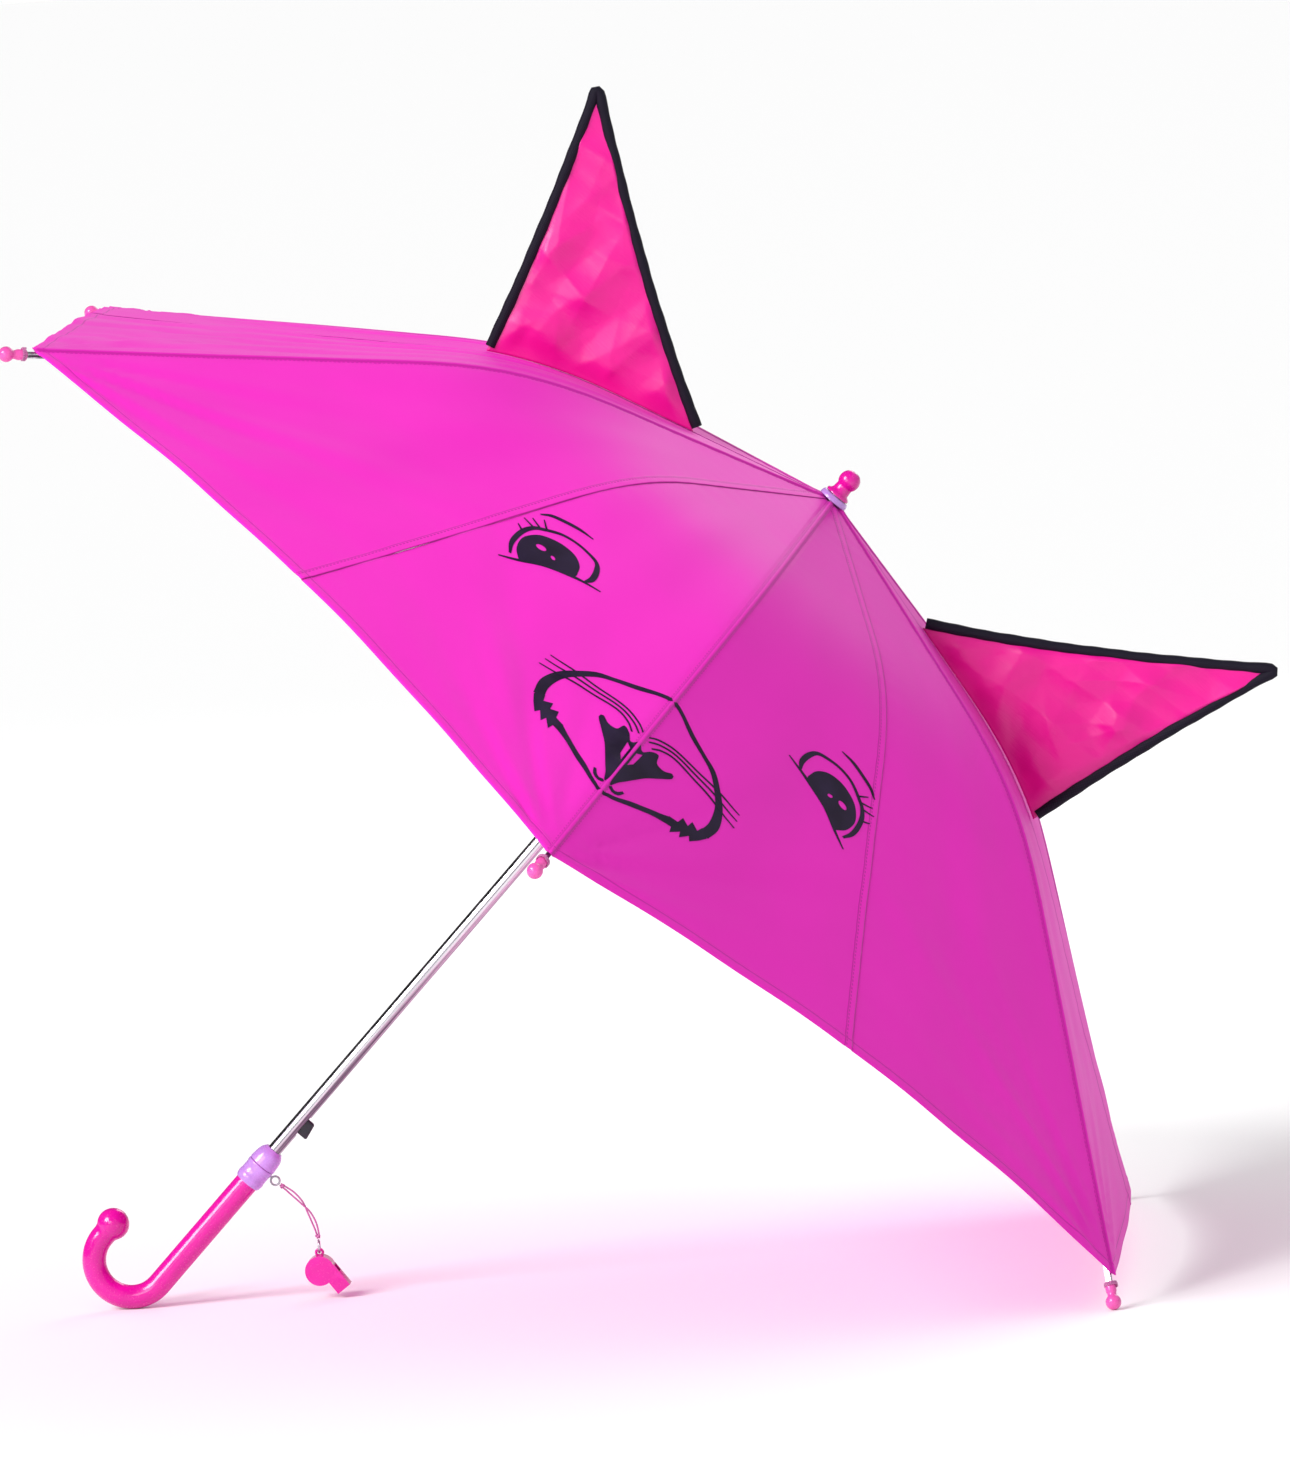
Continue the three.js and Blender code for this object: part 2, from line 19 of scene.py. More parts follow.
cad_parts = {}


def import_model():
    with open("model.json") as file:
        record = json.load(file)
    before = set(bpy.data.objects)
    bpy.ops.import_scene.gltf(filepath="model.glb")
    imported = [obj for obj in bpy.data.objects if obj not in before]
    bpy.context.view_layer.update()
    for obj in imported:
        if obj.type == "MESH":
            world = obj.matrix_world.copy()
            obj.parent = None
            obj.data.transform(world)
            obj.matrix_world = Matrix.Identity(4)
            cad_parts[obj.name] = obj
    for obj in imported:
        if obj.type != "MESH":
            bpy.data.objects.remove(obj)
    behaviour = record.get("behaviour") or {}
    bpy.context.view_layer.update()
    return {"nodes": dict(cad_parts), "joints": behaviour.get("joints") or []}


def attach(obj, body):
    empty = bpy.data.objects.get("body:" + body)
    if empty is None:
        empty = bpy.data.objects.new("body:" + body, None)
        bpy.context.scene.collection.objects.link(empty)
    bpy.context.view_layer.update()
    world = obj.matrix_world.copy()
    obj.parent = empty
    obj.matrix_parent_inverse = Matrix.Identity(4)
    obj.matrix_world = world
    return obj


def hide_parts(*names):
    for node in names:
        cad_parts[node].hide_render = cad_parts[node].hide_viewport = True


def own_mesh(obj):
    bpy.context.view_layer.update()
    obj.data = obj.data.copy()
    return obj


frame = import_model()

# %% [markdown]
# The slides of the runner and the button run along the umbrella's own Z and X, and the two ear hinges sit
# either side of the axis just under the canopy's top. They give the matrix, with no number copied by hand.

# %% The umbrella's own axes
joints = {joint["name"]: joint for joint in frame["joints"]}
axis_z = -Vector(joints["runner_slide"]["axis"])
axis_x = -Vector(joints["button_press"]["axis"])
axis_y = axis_z.cross(axis_x)
PIVOT_R = 9.0
PIVOT_Z = -4.5
MM = 0.001
hub = (Vector(joints["right_ear_fold"]["pos_m"]) + Vector(joints["left_ear_fold"]["pos_m"])) / 2
top = hub - axis_z * PIVOT_Z * MM
turn = Matrix((axis_x, axis_y, axis_z)).transposed().to_4x4()
LAY = Matrix.Translation(top) @ turn @ Matrix.Scale(MM, 4)
RIBS = 6
SECTOR = 2 * math.pi / RIBS
FRONT = -math.pi / 2


def world(x, y, z):
    return LAY @ Vector((x, y, z))


def arm_turn(arm):
    return FRONT + (arm - 1) * SECTOR


print("shaft leans", round(math.degrees(axis_z.angle(Vector((0, 0, 1)))), 2), "degrees")

# %% [markdown]
# Modelling helpers. Each piece is started from a primitive in the umbrella's own frame, where one unit is a
# millimetre, and `lay` moves the mesh, not the object, so that every object stays at the origin.

# %% Helpers for meshes
random.seed(7)
COLLECTION = bpy.context.scene.collection


def clear_selection():
    if bpy.context.object and bpy.context.object.mode != "OBJECT":
        bpy.ops.object.mode_set(mode="OBJECT")
    bpy.ops.object.select_all(action="DESELECT")


def pick(obj):
    clear_selection()
    obj.select_set(True)
    bpy.context.view_layer.objects.active = obj
    return obj


def apply_modifier(obj, kind, **settings):
    pick(obj)
    modifier = obj.modifiers.new(kind.title(), kind)
    for key, value in settings.items():
        setattr(modifier, key, value)
    bpy.ops.object.modifier_apply(modifier=modifier.name)


def smooth(obj, angle=40):
    pick(obj)
    bpy.ops.object.shade_smooth_by_angle(angle=math.radians(angle), keep_sharp_edges=False)
    return obj


def lay(obj, arm=None, spin=0.0):
    """Moves a mesh from the umbrella's own millimetres to its place."""
    around = spin if arm is None else arm_turn(arm)
    bpy.context.view_layer.update()
    obj.data.transform(LAY @ Matrix.Rotation(around, 4, "Z") @ obj.matrix_world)
    obj.matrix_world = Matrix.Identity(4)
    return obj


def mesh_piece(name, verts, faces):
    mesh = bpy.data.meshes.new(name)
    mesh.from_pydata([tuple(v) for v in verts], [], faces)
    obj = bpy.data.objects.new(name, mesh)
    COLLECTION.objects.link(obj)
    return obj


def outward(obj):
    pick(obj)
    bpy.ops.object.mode_set(mode="EDIT")
    bpy.ops.mesh.select_all(action="SELECT")
    bpy.ops.mesh.remove_doubles(threshold=0.00001)
    bpy.ops.mesh.normals_make_consistent(inside=False)
    bpy.ops.object.mode_set(mode="OBJECT")
    return obj


def copied(obj, name):
    twin = obj.copy()
    twin.data = obj.data.copy()
    twin.name = name
    COLLECTION.objects.link(twin)
    return twin


# %% A turned piece, pulled ring by ring
def turned(name, profile, sides=40, centre=(0, 0)):
    """Profile is a list of (radius, height). A circle is extruded and resized to each next point."""
    clear_selection()
    x, y = centre
    radius, height = profile[0]
    bpy.ops.mesh.primitive_circle_add(vertices=sides, radius=radius, location=(x, y, height),
        fill_type="NGON")
    obj = bpy.context.object
    obj.name = name
    bpy.ops.object.transform_apply(location=True)
    bpy.ops.object.mode_set(mode="EDIT")
    bpy.ops.mesh.select_mode(type="EDGE")
    bpy.ops.mesh.select_all(action="SELECT")
    for next_radius, next_height in profile[1:]:
        bpy.ops.mesh.extrude_region_move(TRANSFORM_OT_translate={"value": (0, 0, next_height - height)})
        share = max(next_radius, 0.001) / radius
        bpy.ops.transform.resize(value=(share, share, 1), center_override=(x, y, next_height))
        radius = max(next_radius, 0.001)
        height = next_height
    if radius < 0.01:
        bpy.ops.mesh.merge(type="CENTER")
    bpy.ops.object.mode_set(mode="OBJECT")
    return smooth(outward(obj))


def ball_rings(radius, centre, start, end, steps):
    """Points of a ball's outline between two latitudes, in degrees."""
    rings = []
    for i in range(steps + 1):
        lat = math.radians(start + (end - start) * i / steps)
        rings.append((radius * math.cos(lat), centre + radius * math.sin(lat)))
    return rings


print("helpers ready")

# %% [markdown]
# ## Camera and light
# The camera stands almost level with the umbrella, a long way off, so that its shape isn't stretched.

# %% Camera
CAMERA_AIM = Vector((-0.0007, -0.1009, 0.3151))
CAMERA_DISTANCE = 6.0
CAMERA_AZIMUTH = math.radians(-3.23)
CAMERA_ELEVATION = math.radians(4.86)
CAMERA_ROLL = math.radians(-3.67)
CAMERA_LENS = 264.7

looking = Vector((
    math.sin(CAMERA_AZIMUTH) * math.cos(CAMERA_ELEVATION),
    math.cos(CAMERA_AZIMUTH) * math.cos(CAMERA_ELEVATION),
    -math.sin(CAMERA_ELEVATION),
))
camera_data = bpy.data.cameras.new("camera")
camera_data.lens = CAMERA_LENS
camera_data.sensor_fit = "AUTO"
camera_data.sensor_width = 36
camera_data.clip_end = 60
camera = bpy.data.objects.new("camera", camera_data)
COLLECTION.objects.link(camera)
camera.rotation_mode = "QUATERNION"
camera.rotation_quaternion = looking.to_track_quat("-Z", "Y") @ Matrix.Rotation(CAMERA_ROLL, 3,
    "Z").to_quaternion()
camera.location = CAMERA_AIM - looking * CAMERA_DISTANCE
bpy.context.scene.camera = camera
print("camera at", [round(v, 2) for v in camera.location])


# %% Studio lights, floor and backdrop colour
def lamp(name, kind, place, power, size):
    data = bpy.data.lights.new(name, kind)
    data.energy = power
    if kind == "SUN":
        data.angle = size
    else:
        data.shape = "DISK"
        data.size = size
    light = bpy.data.objects.new(name, data)
    COLLECTION.objects.link(light)
    light.location = place
    light.rotation_mode = "QUATERNION"
    light.rotation_quaternion = (CAMERA_AIM - Vector(place)).to_track_quat("-Z", "Y")


lamp("key", "SUN", (-3.0, -2.6, 3.0), 2.7, math.radians(28))
lamp("face_light", "AREA", (-1.2, -2.6, 1.1), 16, 1.2)
lamp("rim", "AREA", (0.9, 2.6, 2.0), 18, 1.6)

BACKDROP = 1.0
AMBIENT = 0.62
studio = bpy.data.worlds.new("studio")
studio.use_nodes = True
sky = studio.node_tree.nodes["Background"]
sky.inputs["Color"].default_value = (1, 1, 1, 1)
seen = studio.node_tree.nodes.new("ShaderNodeLightPath")
level = studio.node_tree.nodes.new("ShaderNodeMapRange")
level.inputs["To Min"].default_value = AMBIENT
level.inputs["To Max"].default_value = BACKDROP
studio.node_tree.links.new(seen.outputs["Is Camera Ray"], level.inputs["Value"])
# A dark flag up to the left gives the chromed tube its dark streak. Only reflections see it.
FLAG_TOWARDS = (-0.717, 0.0, 0.697)
around = studio.node_tree.nodes.new("ShaderNodeTexCoord")
facing = studio.node_tree.nodes.new("ShaderNodeVectorMath")
facing.operation = "DOT_PRODUCT"
facing.inputs[1].default_value = FLAG_TOWARDS
flag = studio.node_tree.nodes.new("ShaderNodeMapRange")
flag.inputs["From Min"].default_value = 0.15
flag.inputs["From Max"].default_value = 0.45
flag.inputs["To Min"].default_value = 1.0
flag.inputs["To Max"].default_value = 0.05
mirrored = studio.node_tree.nodes.new("ShaderNodeMapRange")
mirrored.inputs["To Min"].default_value = 1.0
dimmed = studio.node_tree.nodes.new("ShaderNodeMath")
dimmed.operation = "MULTIPLY"
for source, target in (
    (around.outputs["Generated"], facing.inputs[0]),
    (facing.outputs["Value"], flag.inputs["Value"]),
    (seen.outputs["Is Glossy Ray"], mirrored.inputs["Value"]),
    (flag.outputs[0], mirrored.inputs["To Max"]),
    (level.outputs[0], dimmed.inputs[0]),
    (mirrored.outputs[0], dimmed.inputs[1]),
    (dimmed.outputs[0], sky.inputs["Strength"]),
):
    studio.node_tree.links.new(source, target)
bpy.context.scene.world = studio

clear_selection()
bpy.ops.mesh.primitive_circle_add(vertices=96, radius=60, location=(0, 0, 0), fill_type="NGON")
floor = bpy.context.object
floor.name = "floor"
paint = bpy.data.materials.new("floor_paint")
paint.use_nodes = True
paint.node_tree.nodes["Principled BSDF"].inputs["Base Color"].default_value = (0.93, 0.93, 0.93, 1)
paint.node_tree.nodes["Principled BSDF"].inputs["Roughness"].default_value = 0.9
floor.data.materials.append(paint)
bpy.context.scene.view_settings.view_transform = "Standard"
print("studio ready")

# %% [markdown]
# ## Finishes
# Every finish starts from one shader whose constant numbers are set on its own sockets. What changes over the
# surface, such as weave, painted shade in the groove by seams and ribs, stitches or handling marks, comes
# from textures that read the piece's own coordinates, so it stays put when the umbrella folds.

# %% Node helpers
def new_finish(name, colour, roughness, **sockets):
    """A material with its main shader ready. Socket names have _ for each space."""
    finish = bpy.data.materials.new(name)
    finish.use_nodes = True
    shader = finish.node_tree.nodes["Principled BSDF"]
    shader.inputs["Base Color"].default_value = (*colour, 1)
    shader.inputs["Roughness"].default_value = roughness
    for key, value in sockets.items():
        shader.inputs[key.replace("_", " ")].default_value = value
    return finish, shader


def node(finish, kind, settings=None, **inputs):
    """Adds a node. An input is a number, a tuple, or another node's output socket."""
    made = finish.node_tree.nodes.new(kind)
    for key, value in (settings or {}).items():
        setattr(made, key, value)
    for key, value in inputs.items():
        plug = made.inputs[int(key[1:])] if key[1:].isdigit() else made.inputs[key.replace("_", " ")]
        if isinstance(value, bpy.types.NodeSocket):
            finish.node_tree.links.new(value, plug)
        else:
            plug.default_value = value
    return made


def maths(finish, operation, a, b=0.0, clamp=False):
    return node(finish, "ShaderNodeMath", {"operation": operation, "use_clamp": clamp}, i0=a, i1=b).outputs[0]


def remap(finish, value, low, high, to_low, to_high):
    made = node(finish, "ShaderNodeMapRange", i0=value, i1=low, i2=high, i3=to_low, i4=to_high)
    return made.outputs[0]


def blend_colours(finish, share, first, second):
    mix = node(finish, "ShaderNodeMix", {"data_type": "RGBA"}, i0=share)
    for plug, value in ((mix.inputs[6], first), (mix.inputs[7], second)):
        if isinstance(value, bpy.types.NodeSocket):
            finish.node_tree.links.new(value, plug)
        else:
            plug.default_value = (*value, 1)
    return mix.outputs[2]


def place_of(finish, stretch=(1, 1, 1)):
    """The surface point in the umbrella's own axes, in metres, so that Z runs along the shaft."""
    coordinates = node(finish, "ShaderNodeTexCoord").outputs["Object"]
    back = turn.inverted().to_euler()
    own = node(finish, "ShaderNodeMapping", Vector=coordinates, Rotation=tuple(back)).outputs[0]
    return node(finish, "ShaderNodeMapping", Vector=own, Scale=stretch).outputs[0]


def speckle(finish, where, scale, detail=3.0):
    return node(finish, "ShaderNodeTexNoise", Vector=where, Scale=scale, Detail=detail).outputs["Fac"]


def connect(finish, value, shader, socket):
    finish.node_tree.links.new(value, shader.inputs[socket])


def bump(finish, shader, height, distance, strength=1.0):
    made = node(finish, "ShaderNodeBump", Height=height, Distance=distance, Strength=strength)
    connect(finish, made.outputs[0], shader, "Normal")


def tinted(colour, share):
    return tuple(min(1.0, c * share) for c in colour)


# %% Cloth finishes
CANOPY_PINK = (0.84, 0.016, 0.52)
EAR_PINK = (0.76, 0.003, 0.27)


def attribute(finish, name):
    return node(finish, "ShaderNodeAttribute", {"attribute_name": name}).outputs["Fac"]


def line_at(finish, distance, centre, half_width):
    """1 on a line at that distance, falling to 0 at half_width either side."""
    off = maths(finish, "ABSOLUTE", maths(finish, "SUBTRACT", distance, centre))
    return maths(finish, "SUBTRACT", 1.0, maths(finish, "DIVIDE", off, half_width), clamp=True)


def threads(finish, where, per_metre):
    """Warp and weft as two crossed sets of fine bands."""
    bands = []
    for direction in ("X", "Y"):
        made = node(finish, "ShaderNodeTexWave", {"bands_direction": direction}, Vector=where,
            Scale=per_metre)
        bands.append(made.outputs["Fac"])
    return maths(finish, "MULTIPLY", bands[0], bands[1])


def canopy_finish():
    """Thin coated polyester: even colour, fine weave, a soft sheen, stitches a shade darker, and painted
    shade in the groove beside each seam and rib.
    """
    finish, shader = new_finish(
        "canopy_cloth", CANOPY_PINK, 0.55, Sheen_Weight=0.12, Sheen_Roughness=0.4, Specular_IOR_Level=0.22
    )
    shader.inputs["Sheen Tint"].default_value = (1, 0.55, 0.9, 1)
    flat_map = node(finish, "ShaderNodeUVMap", {"uv_map": "flat"}).outputs[0]
    cloudy = speckle(finish, flat_map, 9.0)
    tone = blend_colours(finish, remap(finish, cloudy, 0.3, 0.7, 0, 1), tinted(CANOPY_PINK, 0.93),
        CANOPY_PINK)
    along = node(finish, "ShaderNodeSeparateXYZ", Vector=flat_map).outputs[1]
    dashes = maths(finish, "GREATER_THAN", maths(finish, "SINE", maths(finish, "MULTIPLY", along, 2400.0)),
        -0.3)
    seam = attribute(finish, "from_seam")
    rib = attribute(finish, "from_rib")
    hem = attribute(finish, "from_hem")
    stitches = maths(finish, "MULTIPLY", line_at(finish, seam, 4.4, 0.7), dashes)
    stitches = maths(finish, "MAXIMUM", stitches,
        maths(finish, "MULTIPLY", line_at(finish, rib, 2.5, 0.7), dashes))
    stitches = maths(finish, "MAXIMUM", stitches, line_at(finish, hem, 6.2, 0.6))
    # Painted shade: the colour is darkened along the seam's fold, the seam allowance's edge and beside the
    # rib, where the creased cloth lies in shade.
    painted_groove_shade = maths(finish, "MAXIMUM", line_at(finish, seam, 0.0, 0.9), line_at(finish, seam, 5.6, 0.6))
    painted_groove_shade = maths(finish, "MAXIMUM", painted_groove_shade, line_at(finish, rib, 1.6, 1.3))
    marks = maths(finish, "MULTIPLY", maths(finish, "MAXIMUM", stitches, painted_groove_shade), 0.75)
    connect(finish, blend_colours(finish, marks, tone, tinted(CANOPY_PINK, 0.42)), shader, "Base Color")
    weave = threads(finish, flat_map, 420.0)
    shine = maths(finish, "ADD", maths(finish, "MULTIPLY", cloudy, 0.16),
        maths(finish, "MULTIPLY", weave, 0.08))
    connect(finish, maths(finish, "ADD", shine, 0.46), shader, "Roughness")
    height = maths(finish, "SUBTRACT", maths(finish, "MULTIPLY", weave, 0.25), stitches)
    bump(finish, shader, height, 0.00015, 0.5)
    return finish


def satin_finish():
    """Crumpled lining satin, hotter in colour and glossier than the canopy."""
    finish, shader = new_finish(
        "ear_satin", EAR_PINK, 0.3, Sheen_Weight=0.08, Sheen_Roughness=0.3, Specular_IOR_Level=0.42
    )
    flat_map = node(finish, "ShaderNodeUVMap", {"uv_map": "flat"}).outputs[0]
    cloudy = speckle(finish, flat_map, 22.0)
    tone = blend_colours(finish, remap(finish, cloudy, 0.3, 0.7, 0, 1), tinted(EAR_PINK, 0.86), EAR_PINK)
    connect(finish, tone, shader, "Base Color")
    connect(finish, remap(finish, cloudy, 0.2, 0.8, 0.24, 0.42), shader, "Roughness")
    fine = speckle(finish, node(finish, "ShaderNodeMapping", Vector=flat_map, Scale=(1, 6, 1)).outputs[0],
        160.0)
    height = maths(finish, "ADD", maths(finish, "MULTIPLY", threads(finish, flat_map, 520.0), 0.15), fine)
    bump(finish, shader, height, 0.00025, 0.35)
    return finish


def ink_finish():
    """Screen-printed ink: nearly black violet, with thinner patches."""
    ink = (0.010, 0.003, 0.020)
    finish, shader = new_finish("print_ink", ink, 0.42, Specular_IOR_Level=0.16)
    patchy = speckle(finish, place_of(finish), 60.0)
    tone = blend_colours(finish, remap(finish, patchy, 0.35, 0.75, 0, 0.6), ink, (0.030, 0.016, 0.055))
    connect(finish, tone, shader, "Base Color")
    connect(finish, remap(finish, patchy, 0.2, 0.8, 0.36, 0.55), shader, "Roughness")
    bump(finish, shader, speckle(finish, place_of(finish), 1500.0), 0.00004, 0.4)
    return finish


def tape_finish():
    """Black bias tape round the ears' wire: a dull, tight weave on the slant."""
    black = (0.004, 0.0025, 0.009)
    finish, shader = new_finish("ear_tape", black, 0.6, Specular_IOR_Level=0.2)
    flat_map = node(finish, "ShaderNodeUVMap", {"uv_map": "flat"}).outputs[0]
    slant = node(finish, "ShaderNodeMapping", Vector=flat_map, Rotation=(0, 0, math.radians(45))).outputs[0]
    weave = threads(finish, slant, 330.0)
    connect(finish, blend_colours(finish, weave, black, (0.014, 0.010, 0.028)), shader, "Base Color")
    connect(finish, remap(finish, weave, 0, 1, 0.7, 0.52), shader, "Roughness")
    bump(finish, shader, weave, 0.0002, 0.6)
    return finish


def yarn_finish():
    """Mauve polyester string."""
    mauve = (0.55, 0.12, 0.36)
    finish, shader = new_finish("cord_yarn", mauve, 0.75, Sheen_Weight=0.4)
    flat_map = node(finish, "ShaderNodeUVMap", {"uv_map": "flat"}).outputs[0]
    slant = node(finish, "ShaderNodeMapping", Vector=flat_map, Rotation=(0, 0, math.radians(35))).outputs[0]
    twist = node(finish, "ShaderNodeTexWave", Vector=slant, Scale=480.0, Distortion=0.6).outputs["Fac"]
    connect(finish, blend_colours(finish, twist, tinted(mauve, 0.6), tinted(mauve, 1.3)), shader,
        "Base Color")
    connect(finish, remap(finish, twist, 0, 1, 0.85, 0.65), shader, "Roughness")
    bump(finish, shader, twist, 0.0002, 0.7)
    return finish


# %% Plastic and metal finishes
def moulded_finish(name, colour, roughness, coat=0.25, deep=0.85):
    """Injection-moulded plastic: faint flow lines along the part, and fine scuffs that dull the gloss."""
    finish, shader = new_finish(name, colour, roughness, Coat_Weight=coat, Coat_Roughness=0.12)
    flow = speckle(finish, place_of(finish, (1, 1, 0.25)), 95.0)
    tone = blend_colours(finish, remap(finish, flow, 0.35, 0.7, 0, 1), tinted(colour, deep), colour)
    connect(finish, tone, shader, "Base Color")
    scuffs = speckle(finish, place_of(finish, (1, 0.3, 1)), 900.0, 6.0)
    connect(finish, remap(finish, scuffs, 0.45, 0.75, roughness, roughness + 0.2), shader, "Roughness")
    bump(finish, shader, scuffs, 0.00003, 0.35)
    return finish


def drawn_metal_finish(name, dark, light, roughness, scale):
    """Drawn or pressed metal: fine streaks along the tube, with tarnish in patches. On the chrome the dark
    streaks are partly painted reflection.
    """
    finish, shader = new_finish(name, light, roughness, Metallic=1.0)
    # On the chrome the dark streak colour is partly painted reflection of dark surroundings.
    streaks = speckle(finish, place_of(finish, (1, 1, 0.006)), scale)
    connect(finish, blend_colours(finish, remap(finish, streaks, 0.38, 0.62, 0, 1), dark, light), shader,
        "Base Color")
    patches = speckle(finish, place_of(finish), 140.0)
    connect(finish, remap(finish, patches, 0.3, 0.8, roughness, roughness + 0.18), shader, "Roughness")
    bump(finish, shader, streaks, 0.00002, 0.4)
    return finish


CLOTH = canopy_finish()
SATIN = satin_finish()
INK = ink_finish()
TAPE = tape_finish()
YARN = yarn_finish()
MAGENTA = moulded_finish("magenta_plastic", (0.70, 0.003, 0.32), 0.16)
LILAC = moulded_finish("lilac_plastic", (0.52, 0.26, 0.72), 0.22, coat=0.5, deep=0.78)
BLACK = moulded_finish("black_plastic", (0.006, 0.004, 0.014), 0.35)
TIP_PINK = moulded_finish("tip_plastic", (0.84, 0.09, 0.42), 0.22)
# The chrome's dark tint is partly painted reflection: dark surroundings mirrored along the tube, painted into
# its colour.
CHROME = drawn_metal_finish("chromed_tube", (0.16, 0.13, 0.17), (0.82, 0.80, 0.84), 0.12, 800.0)
ZINC = drawn_metal_finish("zinc_steel", (0.30, 0.31, 0.33), (0.62, 0.63, 0.66), 0.32, 400.0)
print(len(bpy.data.materials), "finishes")


def dress(obj, finish, slot_name, body, *nodes):
    """Gives a finished piece its material and body, and hides the solids that it stands for. slot_name is not
    used.
    """
    obj.data.materials.clear()
    obj.data.materials.append(finish)
    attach(obj, body)
    if nodes:
        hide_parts(*nodes)
    return obj

# %% [markdown]
# ## The canopy
# Six ribs leave the crown nearly straight and bend down at their elbows. Each arm carries two half gores,
# from its own line to the plain seam midway to the next rib. A grid follows the rib's line outwards and a
# straight chord across, and every crease is a height above that plain cloth, so neighbours meet exactly
# at their seam.

# %% The rib's line
SLOPE_START = math.radians(13)
SLOPE_END = math.radians(33.5)
BEND_START = 125
BEND_END = 285
LINE_STEP = 2
CLOTH_START = (5.5 - PIVOT_R) / math.cos(SLOPE_START)
CLOTH_END = 488
HEM_RISE = 22
BULGE = 0.04
CLOTH_TOP = 4.0
HALF_SIDE = math.cos(SECTOR / 2) * math.sin(SECTOR / 2)
HALF_IN = math.sin(SECTOR / 2) ** 2


def soft_step(value, low, high):
    t = np.clip((value - low) / (high - low), 0, 1)
    return t * t * (3 - 2 * t)


def slope_at(s):
    return SLOPE_START + (SLOPE_END - SLOPE_START) * soft_step(s, BEND_START, BEND_END)


line_s = np.arange(0, 514, LINE_STEP)
middles = slope_at(line_s[:-1] + LINE_STEP / 2)
line_r = PIVOT_R + np.concatenate(([0], np.cumsum(LINE_STEP * np.cos(middles))))
line_z = PIVOT_Z - np.concatenate(([0], np.cumsum(LINE_STEP * np.sin(middles))))


def rib_point(s):
    """Radius and height at arc length s. Below zero the line runs on straight towards the axis."""
    s = np.asarray(s, float)
    before = np.minimum(s, 0)
    r = np.interp(s, line_s, line_r) + before * math.cos(SLOPE_START)
    z = np.interp(s, line_s, line_z) - before * math.sin(SLOPE_START)
    return r, z


print("rib tip at radius", round(float(rib_point(500)[0]), 1), "height", round(float(rib_point(500)[1]), 1))


# %% Plain cloth: v is 0 on the rib and 1 on the plain seam
def hem_at(v):
    return CLOTH_END - HEM_RISE * np.sin(v * np.pi / 2)


def swell_at(s, v):
    u = np.maximum((s - CLOTH_START) / (hem_at(v) - CLOTH_START), 0)
    return 1 + BULGE * u * u * np.sin(v * np.pi / 2)


def plain_cloth(side, s, v):
    r, z = rib_point(s)
    swell = swell_at(s, v)
    return np.stack((r * (1 - HALF_IN * v) * swell, side * r * v * HALF_SIDE * swell, z + CLOTH_TOP), -1)


def unit(v):
    return v / np.maximum(np.linalg.norm(v, axis=-1, keepdims=True), 1e-9)


def cloth_normal(side, s, v):
    """Outward normal, level with the seam's own plane near both edges, so that neighbours agree there."""
    along = plain_cloth(side, s + 1, v) - plain_cloth(side, s - 1, v)
    across = plain_cloth(side, s, v + 0.002) - plain_cloth(side, s, v - 0.002)
    normal = unit(np.cross(along, across) * side)
    for edge, azimuth in ((1 - soft_step(v, 0, 0.2), 0), (soft_step(v, 0.8, 1), side * SECTOR / 2)):
        sideways = np.array([-math.sin(azimuth), math.cos(azimuth), 0])
        normal = normal - (edge * (normal @ sideways))[..., None] * sideways
    return unit(normal)


# %% Creases, seams and hem, as heights in millimetres
def field(points, scale, seed):
    """Smooth noise sampled in the umbrella's own frame, so it runs on unbroken from gore to gore."""
    flat = points.reshape(-1, 3) / scale + seed
    return np.array([noise.noise(p) for p in flat]).reshape(points.shape[:-1])


def turned_by(points, angle):
    c, s = math.cos(angle), math.sin(angle)
    x, y = points[..., 0], points[..., 1]
    return np.stack((c * x - s * y, s * x + c * y, points[..., 2]), -1)


SLACK_ARMS = {(5, 1), (6, -1)}


def distances(side, s, v):
    """How far a point is from its rib, its plain seam and its hem."""
    width = rib_point(s)[0] * 0.5 * swell_at(s, v)
    return v * width, (1 - v) * width, hem_at(v) - s


